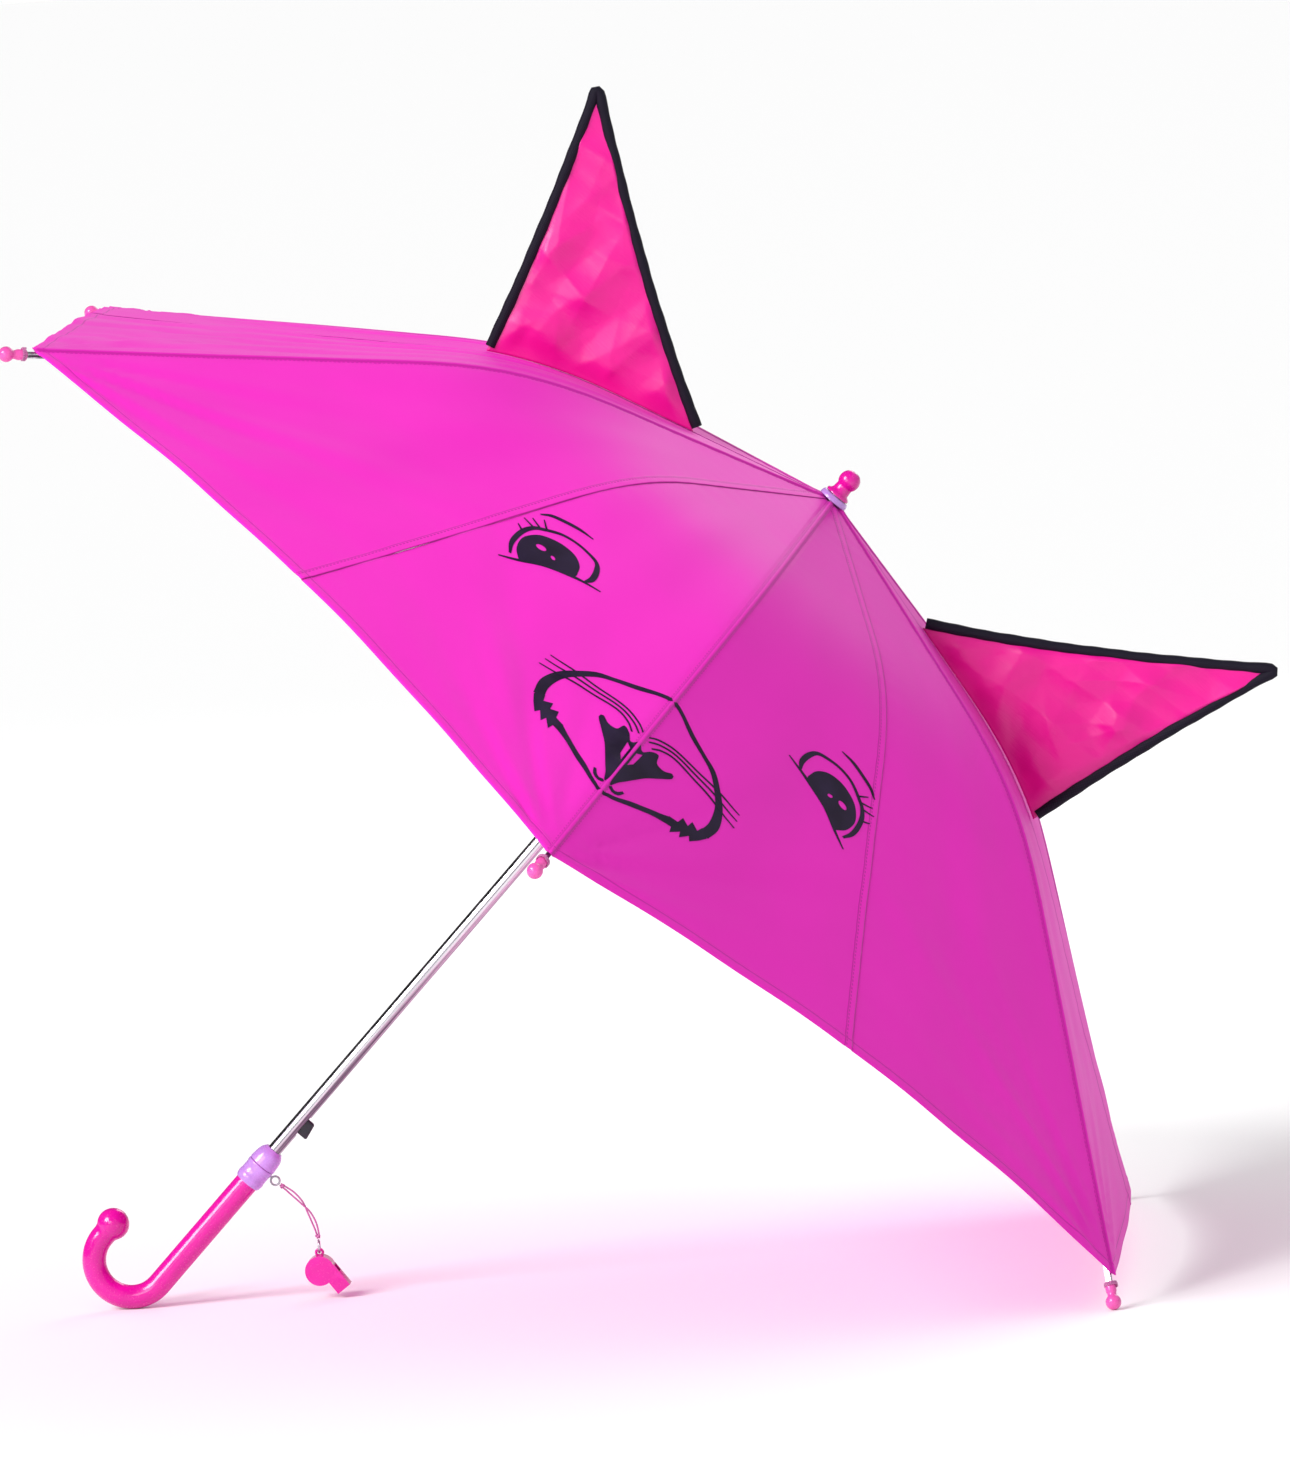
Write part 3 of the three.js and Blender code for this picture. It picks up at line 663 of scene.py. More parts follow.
def relief(arm, side, s, v):
    from_rib, from_seam, from_hem = distances(side, s, v)
    here = turned_by(plain_cloth(side, s, v), arm_turn(arm))
    inside = np.sin(np.pi * v)
    height = 0.8 * np.exp(-((from_rib / 1.4) ** 2)) - 0.35 * np.exp(-(((from_rib - 2.8) / 1.0) ** 2))
    height += 0.3 * (1 - soft_step(from_hem, 7.0, 7.9)) - 0.12 * np.exp(-(((from_hem - 6.2) / 0.6) ** 2))
    if side > 0:
        height += 0.32 * (1 - soft_step(from_seam, 5.2,
            6.0)) - 0.15 * np.exp(-(((from_seam - 4.4) / 0.6) ** 2))
    wander = field(here, 38.0, 3.0)
    pucker = np.sin(s * 0.48 + 5 * wander) * (np.exp(-from_seam / 9.0) + 0.8 * np.exp(-from_rib / 8.0))
    height += 0.22 * pucker * (1 - np.exp(-from_seam / 2.5)) * (1 - np.exp(-from_rib / 2.5))
    height += 1.3 * field(here, 80.0, 11.0) * soft_step(s, 20, 160) * (0.25 + 0.75 * inside)
    reach = np.hypot(from_rib, CLOTH_END - s)
    fan = np.arctan2(from_rib, np.maximum(CLOTH_END - s, 0.01))
    folds = np.sin(fan * 15 + arm * 1.7 + side * 0.8 + 2.2 * field(here, 90.0, 21.0 + arm))
    folds = folds + 0.5 * np.sin(fan * 31 + arm * 0.9)
    height += 1.25 * folds * np.exp(-reach / 105.0) * soft_step(reach, 5,
        40) * np.sin(np.clip(2 * fan, 0, np.pi))
    long_folds = np.sin(v * 13 + arm * 2.1 + side + 1.5 * field(here, 120.0, 31.0))
    height += 0.55 * long_folds * soft_step(s, 90, 300) * inside
    if (arm, side) in SLACK_ARMS:
        bay = v / 2 if arm == 5 else 1 - v / 2
        drift = 0.8 * field(here, 150.0, 41.0)
        slack = np.sin(bay * 53 + drift * 3) + 0.7 * np.sin(bay * 88 + 1.3 + drift * 5)
        slack = slack + 0.4 * np.sin(bay * 141 + s / 60)
        slack = slack * soft_step(s, 40, 240) * (1 - 0.6 * soft_step(s, 380, 480))
        height += 0.75 * slack * soft_step(from_rib, 0, 14) * (1 - np.exp(-from_seam / 4.0))
    return height


def cloth_point(arm, side, s, v, lift=0.0):
    lifted = (relief(arm, side, s, v) + lift)[..., None]
    return plain_cloth(side, s, v) + cloth_normal(side, s, v) * lifted


# %% A half gore as a sheet
NEAR_RIB = np.array([0, 0.8, 1.6, 2.4, 3.2, 4.4])
NEAR_SEAM = np.array([7.0, 6.0, 5.2, 4.6, 4.0, 2.4, 1.0, 0])
GORE_COLUMNS = 38
GORE_ROWS = 104


def gore_grid():
    """Rows of (s, v): even between, and close together beside the rib, the seam and the hem."""
    rows = []
    near_hem = np.array([8.6, 7.9, 7.0, 6.6, 6.2, 5.8, 3.0, 0])
    ladder = np.concatenate((np.linspace(0, 1, GORE_ROWS), np.full(len(near_hem), np.nan)))
    for k, u in enumerate(ladder):
        s_guess = CLOTH_START + (CLOTH_END - 10 - CLOTH_START) * (1.0 if math.isnan(u) else u)
        width = float(rib_point(s_guess)[0]) * 0.5
        shrink = min(1.0, width / 30)
        first = NEAR_RIB * shrink / width
        last = 1 - NEAR_SEAM * shrink / width
        v = np.concatenate((first, np.linspace(first[-1], last[0], GORE_COLUMNS + 2)[1:-1], last))
        if math.isnan(u):
            s = hem_at(v) - near_hem[k - GORE_ROWS]
        else:
            s = CLOTH_START + (hem_at(v) - 10.5 - CLOTH_START) * u
        rows.append((s, v))
    return np.array([row[0] for row in rows]), np.array([row[1] for row in rows])


GRID_S, GRID_V = gore_grid()


def grid_faces(rows, columns, flipped):
    faces = []
    for i in range(rows - 1):
        for j in range(columns - 1):
            quad = (i * columns + j, (i + 1) * columns + j, (i + 1) * columns + j + 1, i * columns + j + 1)
            faces.append(quad[::-1] if flipped else quad)
    return faces


def write_attribute(mesh, name, values):
    made = mesh.attributes.new(name, "FLOAT", "POINT")
    made.data.foreach_set("value", np.asarray(values, np.float32).ravel())


def write_flat_map(mesh, x, y):
    """A UV map in metres of flat cloth, so that a weave has its real size."""
    layer = mesh.uv_layers.new(name="flat")
    points = np.stack((np.ravel(x), np.ravel(y)), -1) * MM
    corners = np.empty(len(mesh.loops), int)
    mesh.loops.foreach_get("vertex_index", corners)
    layer.data.foreach_set("uv", points[corners].astype(np.float32).ravel())


def sheet_from(name, points, across, along, flipped):
    rows, columns = points.shape[:2]
    obj = mesh_piece(name, points.reshape(-1, 3), grid_faces(rows, columns, flipped))
    write_flat_map(obj.data, across, along)
    return obj


def thicken(obj, thickness):
    apply_modifier(obj, "SOLIDIFY", thickness=thickness, offset=-1.0, use_even_offset=False)
    for face in obj.data.polygons:
        face.use_smooth = True
    return obj


def half_gore(arm, side):
    name = f"gore_{arm}_{'right' if side > 0 else 'left'}_cloth"
    points = cloth_point(arm, side, GRID_S, GRID_V)
    from_rib, from_seam, from_hem = distances(side, GRID_S, GRID_V)
    obj = sheet_from(name, points, side * from_rib, GRID_S, side < 0)
    write_attribute(obj.data, "from_rib", from_rib)
    write_attribute(obj.data, "from_seam", from_seam if side > 0 else from_seam + 20 * (from_seam > 2))
    write_attribute(obj.data, "from_hem", from_hem)
    thicken(obj, 0.4)
    return lay(obj, arm)


def gather(obj):
    """Gives a piece of cloth its own copy of its mesh."""
    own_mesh(obj)


for arm in range(1, RIBS + 1):
    for side in (-1, 1):
        node_name = f"gore_{arm}_{'right' if side > 0 else 'left'}"
        gore = half_gore(arm, side)
        dress(gore, CLOTH, "canopy_cloth", f"rib_arm_{arm}", node_name)
        gather(gore)


# %% The tape sewn under each rib's line
def seam_tape(arm):
    s, a = np.meshgrid(np.linspace(2, 486, 90), np.linspace(-5, 5, 7), indexing="ij")
    v = np.abs(a) / (rib_point(s)[0] * 0.5)
    side = np.where(a < 0, -1, 1)
    points = np.where((a < 0)[..., None], plain_cloth(-1, s, v), plain_cloth(1, s, v))
    points[..., 2] -= 0.75
    obj = sheet_from(f"rib_tape_{arm}", points, a, s, False)
    for name, values in (("from_rib", np.abs(a) + 9), ("from_seam", a * 0 + 90), ("from_hem", a * 0 + 90)):
        write_attribute(obj.data, name, values)
    thicken(obj, 0.3)
    return lay(obj, arm)


for arm in range(1, RIBS + 1):
    dress(seam_tape(arm), CLOTH, "canopy_cloth", f"rib_arm_{arm}")

# %% [markdown]
# ## The printed face
# The face is screen-printed over the front arm: an eye either side, and a muzzle that straddles the rib.
# Its lines are drawn once for the right-hand side, in millimetres across the cloth from the rib and along
# it from the pivot, and mirrored. Each line is a thin film laid just above the cloth's own creases.

# %% Drawing tools for ink
def drawn(points, step=1.2):
    """A smooth line through a few points, which may carry a pen width as a third number."""
    points = np.array(points, float)
    padded = np.vstack((2 * points[0] - points[1], points, 2 * points[-1] - points[-2]))
    out = []
    for i in range(1, len(padded) - 2):
        p0, p1, p2, p3 = padded[i - 1:i + 3]
        count = max(2, int(np.linalg.norm((p2 - p1)[:2]) / step))
        for t in np.arange(count) / count:
            out.append(0.5 * (2 * p1 + (p2 - p0) * t + (2 * p0 - 5 * p1 + 4 * p2 - p3) * t * t
                              + (3 * p1 - p0 - 3 * p2 + p3) * t ** 3))
    out.append(points[-1])
    return np.array(out)


def stroke(points):
    """Vertices (across, along) and faces of a pen line."""
    line = drawn(points)
    ahead = np.gradient(line[:, :2], axis=0)
    ahead /= np.maximum(np.linalg.norm(ahead, axis=1, keepdims=True), 1e-9)
    sideways = np.stack((-ahead[:, 1], ahead[:, 0]), -1) * np.maximum(line[:, 2:3], 0.3) / 2
    rows = np.stack((line[:, :2] - sideways, line[:, :2], line[:, :2] + sideways), 1)
    return rows.reshape(-1, 2), grid_faces(len(line), 3, False)


def inside_out(point, loops):
    """True where a point is inside an odd number of the loops."""
    x, y = point
    odd = False
    for loop in loops:
        for (x1, y1), (x2, y2) in zip(loop, np.roll(loop, -1, axis=0)):
            if (y1 > y) != (y2 > y) and x < (x2 - x1) * (y - y1) / (y2 - y1) + x1:
                odd = not odd
    return odd


def filled(loops, grain=3.5):
    """Vertices and faces of a flat shape. Loops after the first are holes."""
    points = []
    edges = []
    for loop in loops:
        start = len(points)
        points += [Vector(p) for p in loop]
        edges += [(start + i, start + (i + 1) % len(loop)) for i in range(len(loop))]
    low, high = loops[0].min(axis=0), loops[0].max(axis=0)
    for x in np.arange(low[0], high[0], grain):
        for y in np.arange(low[1], high[1], grain):
            if inside_out((x, y), loops) and min(np.linalg.norm(loop - (x, y),
                axis=1).min() for loop in loops) > 0.8:
                points.append(Vector((x, y)))
    verts, _, faces, *_ = delaunay_2d_cdt(points, edges, [], 0, 0.0001)
    verts = np.array([tuple(v) for v in verts])
    kept = [tuple(f) for f in faces if inside_out(verts[list(f)].mean(axis=0), loops)]
    return verts, kept


def closed_loop(points, step=1.2):
    ring = np.array(points + [points[0]], float)
    return drawn(ring, step)[:-1]


def oval(centre, half_long, half_short, lean, count=18):
    angle = np.linspace(0, 2 * np.pi, count, endpoint=False)
    x, y = half_long * np.cos(angle), half_short * np.sin(angle)
    c, s = math.cos(lean), math.sin(lean)
    return np.stack((centre[0] + c * x - s * y, centre[1] + s * x + c * y), -1)


# %% The eye and the muzzle, drawn for one side
eye_shapes = [
    filled([
        np.vstack((
            drawn([(112, 328), (117, 322), (118, 312), (113, 302), (106, 296), (98, 292.5), (90, 292.5),
                   (84.5, 297), (82.5, 304.5)]),
            drawn([(83, 307), (90, 311), (99, 316), (106, 322)]),
        )),
        oval((107, 307.5), 3.4, 1.9, 0.5),
        oval((98.5, 307), 1.6, 1.3, 0),
    ]),
    stroke([(122, 337, 0.8), (112, 328.5, 1.6), (99, 316.5, 2.0), (83, 307.3, 2.0), (67, 301, 0.8)]),
    stroke([(118, 329, 1.6), (121, 321, 3.0), (120.5, 309, 3.0), (117, 300, 2.4), (112, 294.5, 2.0),
        (103, 287, 1.7),
            (94, 283.5, 1.7), (86, 283, 2.0), (79, 284.5, 2.6), (75.8, 290, 3.6), (74.8, 298, 3.4),
            (77, 304.5, 1.2)]),
    stroke([(119, 287, 0.8), (114, 281.5, 1.8), (106, 277, 2.2), (97, 273, 2.0), (88.5, 271, 0.7)]),
    stroke([(124.5, 299, 0.7), (118, 299.5, 1.4)]),
    stroke([(121, 294, 0.7), (114.5, 296, 1.4)]),
    stroke([(115.5, 288.5, 0.7), (111, 293, 1.4)]),
    stroke([(125, 306, 0.7), (121, 308, 1.4)]),
]
zigzag = np.array([(60, 400), (54.6, 395), (53.4, 399.4), (48.6, 395.4), (48, 400.4), (43.4, 397.4),
    (42.6, 402.4),
                   (37, 403.4), (36, 409.6), (41.4, 408.8), (42.4, 413.4), (46.6, 408), (48, 412.6),
                   (51.6, 406.8),
                   (53.6, 410.4), (57.4, 405)])
muzzle_shapes = [
    stroke([(1.2, 325, 3.0), (9, 330, 2.5), (20, 338.5, 3.0), (31, 346, 2.6), (40, 352.5, 3.2),
        (48, 363, 3.6),
            (55.5, 375, 4.8), (58.8, 388, 6.2), (57.4, 399, 6.4)]),
    filled([zigzag], 2.5),
    stroke([(38, 406.4, 5.6), (33, 408.5, 4.4), (25, 411.5, 4.0), (17, 415, 3.8), (8, 419.5, 3.0),
        (1.2, 422, 2.6)]),
    stroke([(2.2, 361.5, 1.1), (8, 358.2, 1.3), (18, 356.6, 1.3), (34, 360, 1.2), (50, 363.6, 1.2),
        (66, 368, 0.7)]),
    stroke([(3.6, 365, 1.1), (9.5, 361.2, 1.3), (19, 359.6, 1.3), (34, 363.2, 1.2), (50, 367.8, 1.2),
        (67, 373.4, 0.7)]),
    stroke([(7.0, 368, 1.1), (12, 364.2, 1.3), (20, 362.8, 1.3), (34, 366.8, 1.2), (50, 372.2, 1.2),
        (68, 379.4, 0.7)]),
    filled([
        closed_loop([(1.2, 371), (4.4, 374.6), (7.6, 370.4), (12, 368.6), (14.2, 374.8), (19.5, 376.4),
            (24, 374.2),
                     (25.6, 377.4), (20, 384), (14.6, 390), (9.8, 398), (5.2, 406), (1.2, 411)]),
        np.array([(2.2, 378.5), (5.4, 376.6), (4.6, 387.6), (2.2, 391.0)]),
    ]),
    stroke([(2.4, 413.4, 1.6), (5, 415.6, 2.2), (8, 414.6, 2.4), (10, 411, 1.6)]),
]


def film(name, side, shapes):
    """Lays drawn shapes on the front arm's cloth as one thin film of ink."""
    verts = []
    faces = []
    for layer, (flat, flat_faces) in enumerate(shapes):
        start = len(verts)
        across, s = flat[:, 0], flat[:, 1]
        v = across / (rib_point(s)[0] * HALF_SIDE)
        for _ in range(4):
            v = across / (rib_point(s)[0] * HALF_SIDE * swell_at(s, v))
        verts += list(cloth_point(1, side, s, v, 0.2 + 0.015 * layer))
        faces += [tuple(start + i for i in face) for face in flat_faces]
    obj = mesh_piece(name, verts, faces)
    mesh = obj.data
    edit = bmesh.new()
    edit.from_mesh(mesh)
    bmesh.ops.dissolve_degenerate(edit, dist=0.001, edges=edit.edges)
    for face in edit.faces:
        face.normal_update()
        if face.normal.z < 0:
            face.normal_flip()
    edit.to_mesh(mesh)
    edit.free()
    thicken(obj, 0.08)
    return lay(smooth(obj, 30), 1)


for side, word in ((-1, "left"), (1, "right")):
    for name, shapes in (("eye", eye_shapes), ("muzzle", muzzle_shapes)):
        ink = film(f"{name}_print_{word}", side, shapes)
        dress(ink, INK, "black_trim", "rib_arm_1")
        gather(ink)
print("face printed in", len(eye_shapes) + len(muzzle_shapes), "shapes a side")

# %% [markdown]
# ## The ears
# Each ear is two satin panels sewn into the plain seam and into a wired tape round their slanted edges.
# The wire holds the outline, while the satin between is slack and creased, because it is folded up with
# the umbrella. The creases are straight folds in several directions, which meet in flat facets with sharp
# ridges between.

# %% The ear's outline, in the plane through the shaft
EAR_BASE_IN = 84
EAR_BASE_OUT = 200
EAR_APEX = np.array((251.0, 92.0))
INNER_BEND = np.array((158.0, 22.0))
OUTER_BEND = np.array((221.0, 12.0))
TAPE_R = 3.0
SEAM_GAP = 0.6


def seam_at(radius):
    """The upper face of the canopy's plain seam, as (radius, height)."""
    s = np.linspace(20, 466, 900)
    x, y, z = plain_cloth(1, s, np.ones_like(s)).T
    return np.array((radius, float(np.interp(radius, np.hypot(x, y), z))))


ear_in = seam_at(EAR_BASE_IN) + (SEAM_GAP, TAPE_R + SEAM_GAP)
ear_out = seam_at(EAR_BASE_OUT) + (1.5 + SEAM_GAP, TAPE_R + SEAM_GAP)


def edge_point(foot, bend, t):
    t = np.asarray(t, float)[..., None]
    return (1 - t) ** 2 * foot + 2 * t * (1 - t) * bend + t ** 2 * EAR_APEX


print("ear stands", round(float(EAR_APEX[1] - ear_out[1])), "mm above its outer foot")


# %% Creased satin panels
def creases(x, y, seed, count=6):
    """Straight folds in several directions, each strong in some places and gone in others."""
    dice = random.Random(seed)
    height = x * 0.0
    for _ in range(count):
        lean = dice.uniform(0, math.pi)
        pitch = dice.uniform(22, 60)
        offset = dice.uniform(0, 1)
        across = (x * math.cos(lean) + y * math.sin(lean)) / pitch + offset
        spot = np.stack((x, y, x * 0 + dice.uniform(0, 500)), -1)
        wobble = 0.22 * field(spot, 40.0, 0.0)
        ridge = 1 - 2 * np.abs((across + wobble) % 1 - 0.5)
        strength = np.clip(0.55 + 1.5 * field(spot, 55.0, 9.0), 0.05, 1.3)
        height += strength * ridge ** 1.3 * pitch / 34
    return height


def ear_panel(name, front, spin):
    """front is -1 for the face and 1 for the back, as seen from the umbrella's front."""
    u, t = np.meshgrid(np.linspace(0, 1, 96), np.linspace(0, 0.985, 120))
    inner = edge_point(ear_in, INNER_BEND, t)
    outer = edge_point(ear_out, OUTER_BEND, t)
    flat = inner + (outer - inner) * u[..., None]
    foot = np.stack([seam_at(r)[1] for r in np.linspace(EAR_BASE_IN, EAR_BASE_OUT, 96)])
    drop = foot + 0.3 - (ear_in[1] + (ear_out[1] - ear_in[1]) * u[0])
    flat[..., 1] += drop[None, :] * (1 - soft_step(t, 0, 0.3))
    held = np.minimum(soft_step(u, 0, 0.10), soft_step(1 - u, 0, 0.10)) * soft_step(t, 0, 0.10)
    seed = 7.3 + 11 * front + 5 * spin
    puff = 1.7 * creases(flat[..., 0], flat[..., 1], int(seed * 10)) - 0.6
    width = np.linalg.norm(outer - inner, axis=-1)
    away = 0.35 + np.clip(puff, 0, 6) * held * np.clip(width / 30, 0, 1)
    points = np.stack((flat[..., 0], front * away, flat[..., 1]), -1)
    obj = sheet_from(name, points, flat[..., 0], flat[..., 1], front > 0)
    return lay(thicken(obj, 0.3), spin=spin)


# %% The wired tape round the slanted edges
def sweep(name, path, radii, sides, flat_scale=1.0, closed_ends=True):
    """A tube along path, in millimetres, whose ends are closed. radii may differ along it."""
    path = np.array(path, float)
    tangents = unit(np.gradient(path, axis=0))
    up = np.array((0.0, 1.0, 0.0))
    verts = []
    for centre, ahead, radius in zip(path, tangents, radii):
        across = unit(np.cross(ahead, up))
        up = unit(np.cross(across, ahead))
        for k in range(sides):
            angle = 2 * math.pi * k / sides
            verts.append(centre + radius * (math.cos(angle) * across + flat_scale * math.sin(angle) * up))
    faces = []
    for i in range(len(path) - 1):
        for k in range(sides):
            n = (k + 1) % sides
            faces.append((i * sides + k, i * sides + n, (i + 1) * sides + n, (i + 1) * sides + k))
    faces.append(tuple(range(sides))[::-1])
    faces.append(tuple((len(path) - 1) * sides + k for k in range(sides)))
    obj = mesh_piece(name, verts, faces)
    travelled = np.concatenate(([0], np.cumsum(np.linalg.norm(np.diff(path, axis=0), axis=1))))
    layer = obj.data.uv_layers.new(name="flat")
    girth = 2 * math.pi * float(np.mean(radii))
    for loop in obj.data.loops:
        ring, k = divmod(loop.vertex_index, sides)
        layer.data[loop.index].uv = (girth * k / sides * MM, travelled[ring] * MM)
    clear_selection()
    pick(obj)
    bpy.ops.object.mode_set(mode="EDIT")
    bpy.ops.mesh.select_all(action="SELECT")
    bpy.ops.mesh.normals_make_consistent(inside=False)
    bpy.ops.object.mode_set(mode="OBJECT")
    return smooth(obj, 50)


def ear_tape(name, spin):
    rising = np.array([0, 0.06, 0.14, 0.24, 0.36, 0.5, 0.64, 0.78, 0.88, 0.95])
    up_side = edge_point(ear_in, INNER_BEND, rising)
    down_side = edge_point(ear_out, OUTER_BEND, rising[::-1])
    peak = np.array((EAR_APEX + (-3.5, -2.6), EAR_APEX + (-1.0, -3.4)))
    line = drawn([tuple(p) for p in np.vstack((up_side, peak, down_side))], 2.5)
    path = np.stack((line[:, 0], line[:, 0] * 0, line[:, 1]), -1)
    radii = TAPE_R + 0.12 * np.sin(np.arange(len(path)) * 1.1) + 0.1 * np.sin(np.arange(len(path)) * 0.37)
    return lay(sweep(name, path, radii, 18), spin=spin)


for word, spin, front in (("right", 0.0, -1), ("left", math.pi, 1)):
    body = f"{word}_ear"
    face = ear_panel(f"{body}_face_satin", front, spin)
    back = ear_panel(f"{body}_back_satin", -front, spin)
    tape = ear_tape(f"{body}_tape", spin)
    dress(face, SATIN, "ear_satin", body, f"ear_{word}_face")
    dress(back, SATIN, "ear_satin", body, f"ear_{word}_back")
    dress(tape, TAPE, "black_trim", body, f"ear_{word}_piping")
print("two ears, each of two panels and a tape")

# %% [markdown]
# ## Plastic and metal parts
# These are all turned or bent from a circle. Each circle is extruded to the next height and resized
# there, the hook is spun round its centre, and slots are cut last. Parts that repeat are modelled once
# and copied.

# %% Handle: a straight grip, a hook and a ball
HANDLE_R = 6.8
HANDLE_TOP = -490.8
HOOK_R = 21.0
HOOK_Z = -585.0
HOOK_TAIL = 7.0
BALL_R = 9.2
clear_selection()
bpy.ops.mesh.primitive_circle_add(vertices=48, radius=HANDLE_R - 0.6, location=(0, 0, HANDLE_TOP),
    fill_type="NGON")
handle = bpy.context.object
handle.name = "handle_hook"
bpy.ops.object.transform_apply(location=True)
bpy.ops.object.mode_set(mode="EDIT")
bpy.ops.mesh.select_all(action="SELECT")
grip = [(HANDLE_R, HANDLE_TOP - 0.6), (HANDLE_R, -515), (HANDLE_R, -550), (HANDLE_R, HOOK_Z)]
radius = HANDLE_R - 0.6
height = HANDLE_TOP
for next_radius, next_height in grip:
    bpy.ops.mesh.extrude_region_move(TRANSFORM_OT_translate={"value": (0, 0, next_height - height)})
    share = next_radius / radius
    bpy.ops.transform.resize(value=(share, share, 1), center_override=(0, 0, next_height))
    radius = next_radius
    height = next_height
bpy.ops.mesh.spin(steps=40, angle=math.pi, center=(-HOOK_R, 0, HOOK_Z), axis=(0, -1, 0))
low = min((handle.matrix_world @ v.co).z for v in bmesh.from_edit_mesh(handle.data).verts)
print("hook reaches", round(low, 1))
ball = ball_rings(BALL_R, HOOK_Z + HOOK_TAIL + 2, -38, 90, 16)
height = HOOK_Z
for next_radius, next_height in [(HANDLE_R, HOOK_Z + 1.5)] + ball:
    bpy.ops.mesh.extrude_region_move(TRANSFORM_OT_translate={"value": (0, 0, next_height - height)})
    share = max(next_radius, 0.001) / radius
    bpy.ops.transform.resize(value=(share, share, 1), center_override=(-2 * HOOK_R, 0, next_height))
    radius = max(next_radius, 0.001)
    height = next_height
bpy.ops.mesh.merge(type="CENTER")
bpy.ops.object.mode_set(mode="OBJECT")
smooth(outward(handle), 35)
dress(lay(handle), MAGENTA, "magenta_plastic", "frame", "handle")

# %% Collar of two lilac rings, and the finial with its washer
collar = turned("collar_upper", [
    (4.35, -483.8), (5.2, -484.0), (5.6, -484.6), (6.3, -485.4), (7.1, -486.8), (7.6, -488.5), (7.9, -490.6),
    (8.2, -493.8), (8.2, -494.7), (7.9, -495.0), (6.9, -495.0),
], 56)
band = turned("collar_band", [
    (6.9, -495.3), (7.9, -495.3), (8.25, -495.7), (8.25, -497.2), (7.95, -497.7), (7.95, -503.2),
    (8.25, -503.7),
    (8.2, -505.4), (7.8, -507.3), (7.4, -508.0), (6.9, -508.0),
], 56)
washer = turned("finial_washer", [
    (4.4, 0.7), (8.2, 0.7), (8.7, 1.0), (8.8, 1.8), (8.5, 3.0), (8.1, 3.8), (7.6, 4.2), (4.4, 4.3),
], 56)
finial = turned("finial_ball", [
    (6.8, 4.6), (7.2, 4.8), (7.25, 5.6), (6.9, 6.1), (5.9, 6.8), (5.2, 7.6), (5.0, 8.8), (4.8, 10.8),
] + ball_rings(6.2, 15.4, -38, 64, 16) + [(2.0, 21.15), (0.0, 21.2)], 48)
dress(lay(collar), LILAC, "lilac_plastic", "frame", "ferrule")
dress(lay(band), LILAC, "lilac_plastic", "frame", "ferrule_band")
dress(lay(washer), LILAC, "lilac_plastic", "frame", "finial_ring")
dress(lay(finial), MAGENTA, "magenta_plastic", "frame", "finial")
print("collar, washer and finial turned")


# %% Shaft, crown and runner, with their slots
def block(name, size, place):
    clear_selection()
    bpy.ops.mesh.primitive_cube_add(size=1, location=place, scale=size)
    made = bpy.context.object
    made.name = name
    bpy.ops.object.transform_apply(location=True, rotation=True, scale=True)
    return made


def cut(obj, cutter):
    apply_modifier(obj, "BOOLEAN", operation="DIFFERENCE", object=cutter, solver="EXACT")
    bpy.data.objects.remove(cutter)
    return obj


def star_of_slots(width, inner, outer, low, high):
    """One cutter with a block over each rib's line."""
    blocks = []
    for arm in range(1, RIBS + 1):
        made = block("slot", (outer - inner, width, high - low), ((outer + inner) / 2, 0, (high + low) / 2))
        made.data.transform(Matrix.Rotation(arm_turn(arm), 4, "Z"))
        blocks.append(made)
    clear_selection()
    for made in blocks:
        made.select_set(True)
    bpy.context.view_layer.objects.active = blocks[0]
    bpy.ops.object.join()
    return blocks[0]


def bored(obj, radius, low, high):
    drill = turned("drill", [(radius, low), (radius, high)], 48)
    return cut(obj, drill)


shaft = turned("shaft_tube", [(3.8, -534), (4.0, -533.8), (4.0, -300), (4.0, -100), (4.0, 8.8), (3.8, 9.0)],
    48)
bored(shaft, 3.3, -540, 12)
cut(shaft, block("slot", (4, 3.8, 13), (4, 0, -463)))
smooth(shaft, 30)
dress(lay(shaft), CHROME, "chromed_tube", "frame", "shaft")

crown = turned("crown_notches", [
    (8.6, -11), (9.0, -11), (9.9, -10.4), (10.5, -9.4), (10.5, -3.4), (10.1, -3.0), (6.0, -3.0),
], 60)
bored(crown, 4.3, -15, 1)
cut(crown, star_of_slots(3.4, 6.4, 14, -12, -2))
smooth(crown, 30)
dress(lay(crown), ZINC, "zinc_steel", "frame", "crown")

RUNNER_Z = PIVOT_Z - 2 * float(PIVOT_Z - rib_point(205)[1])
runner = turned("runner_sleeve", [
    (6.9, RUNNER_Z - 52), (7.2, RUNNER_Z - 51.7), (7.2, RUNNER_Z - 48.4), (6.9, RUNNER_Z - 47.6),
    (6.0, RUNNER_Z - 46), (6.0, RUNNER_Z - 30), (6.25, RUNNER_Z - 29.6), (6.25, RUNNER_Z - 28),
    (6.0, RUNNER_Z - 27.6),
    (6.0, RUNNER_Z - 8), (8.0, RUNNER_Z - 6.6), (10.5, RUNNER_Z - 5), (11.2, RUNNER_Z - 4.4),
    (11.5, RUNNER_Z - 3.8),
    (11.5, RUNNER_Z + 3.5), (11.1, RUNNER_Z + 4.0), (6.0, RUNNER_Z + 4.0),
], 60)
bored(runner, 4.3, RUNNER_Z - 60, RUNNER_Z + 8)
cut(runner, star_of_slots(5.4, 6.4, 16, RUNNER_Z - 9, RUNNER_Z + 5))
smooth(runner, 30)
dress(lay(runner), MAGENTA, "magenta_plastic", "runner_slider", "runner")
print("runner pivot at", round(RUNNER_Z, 2))

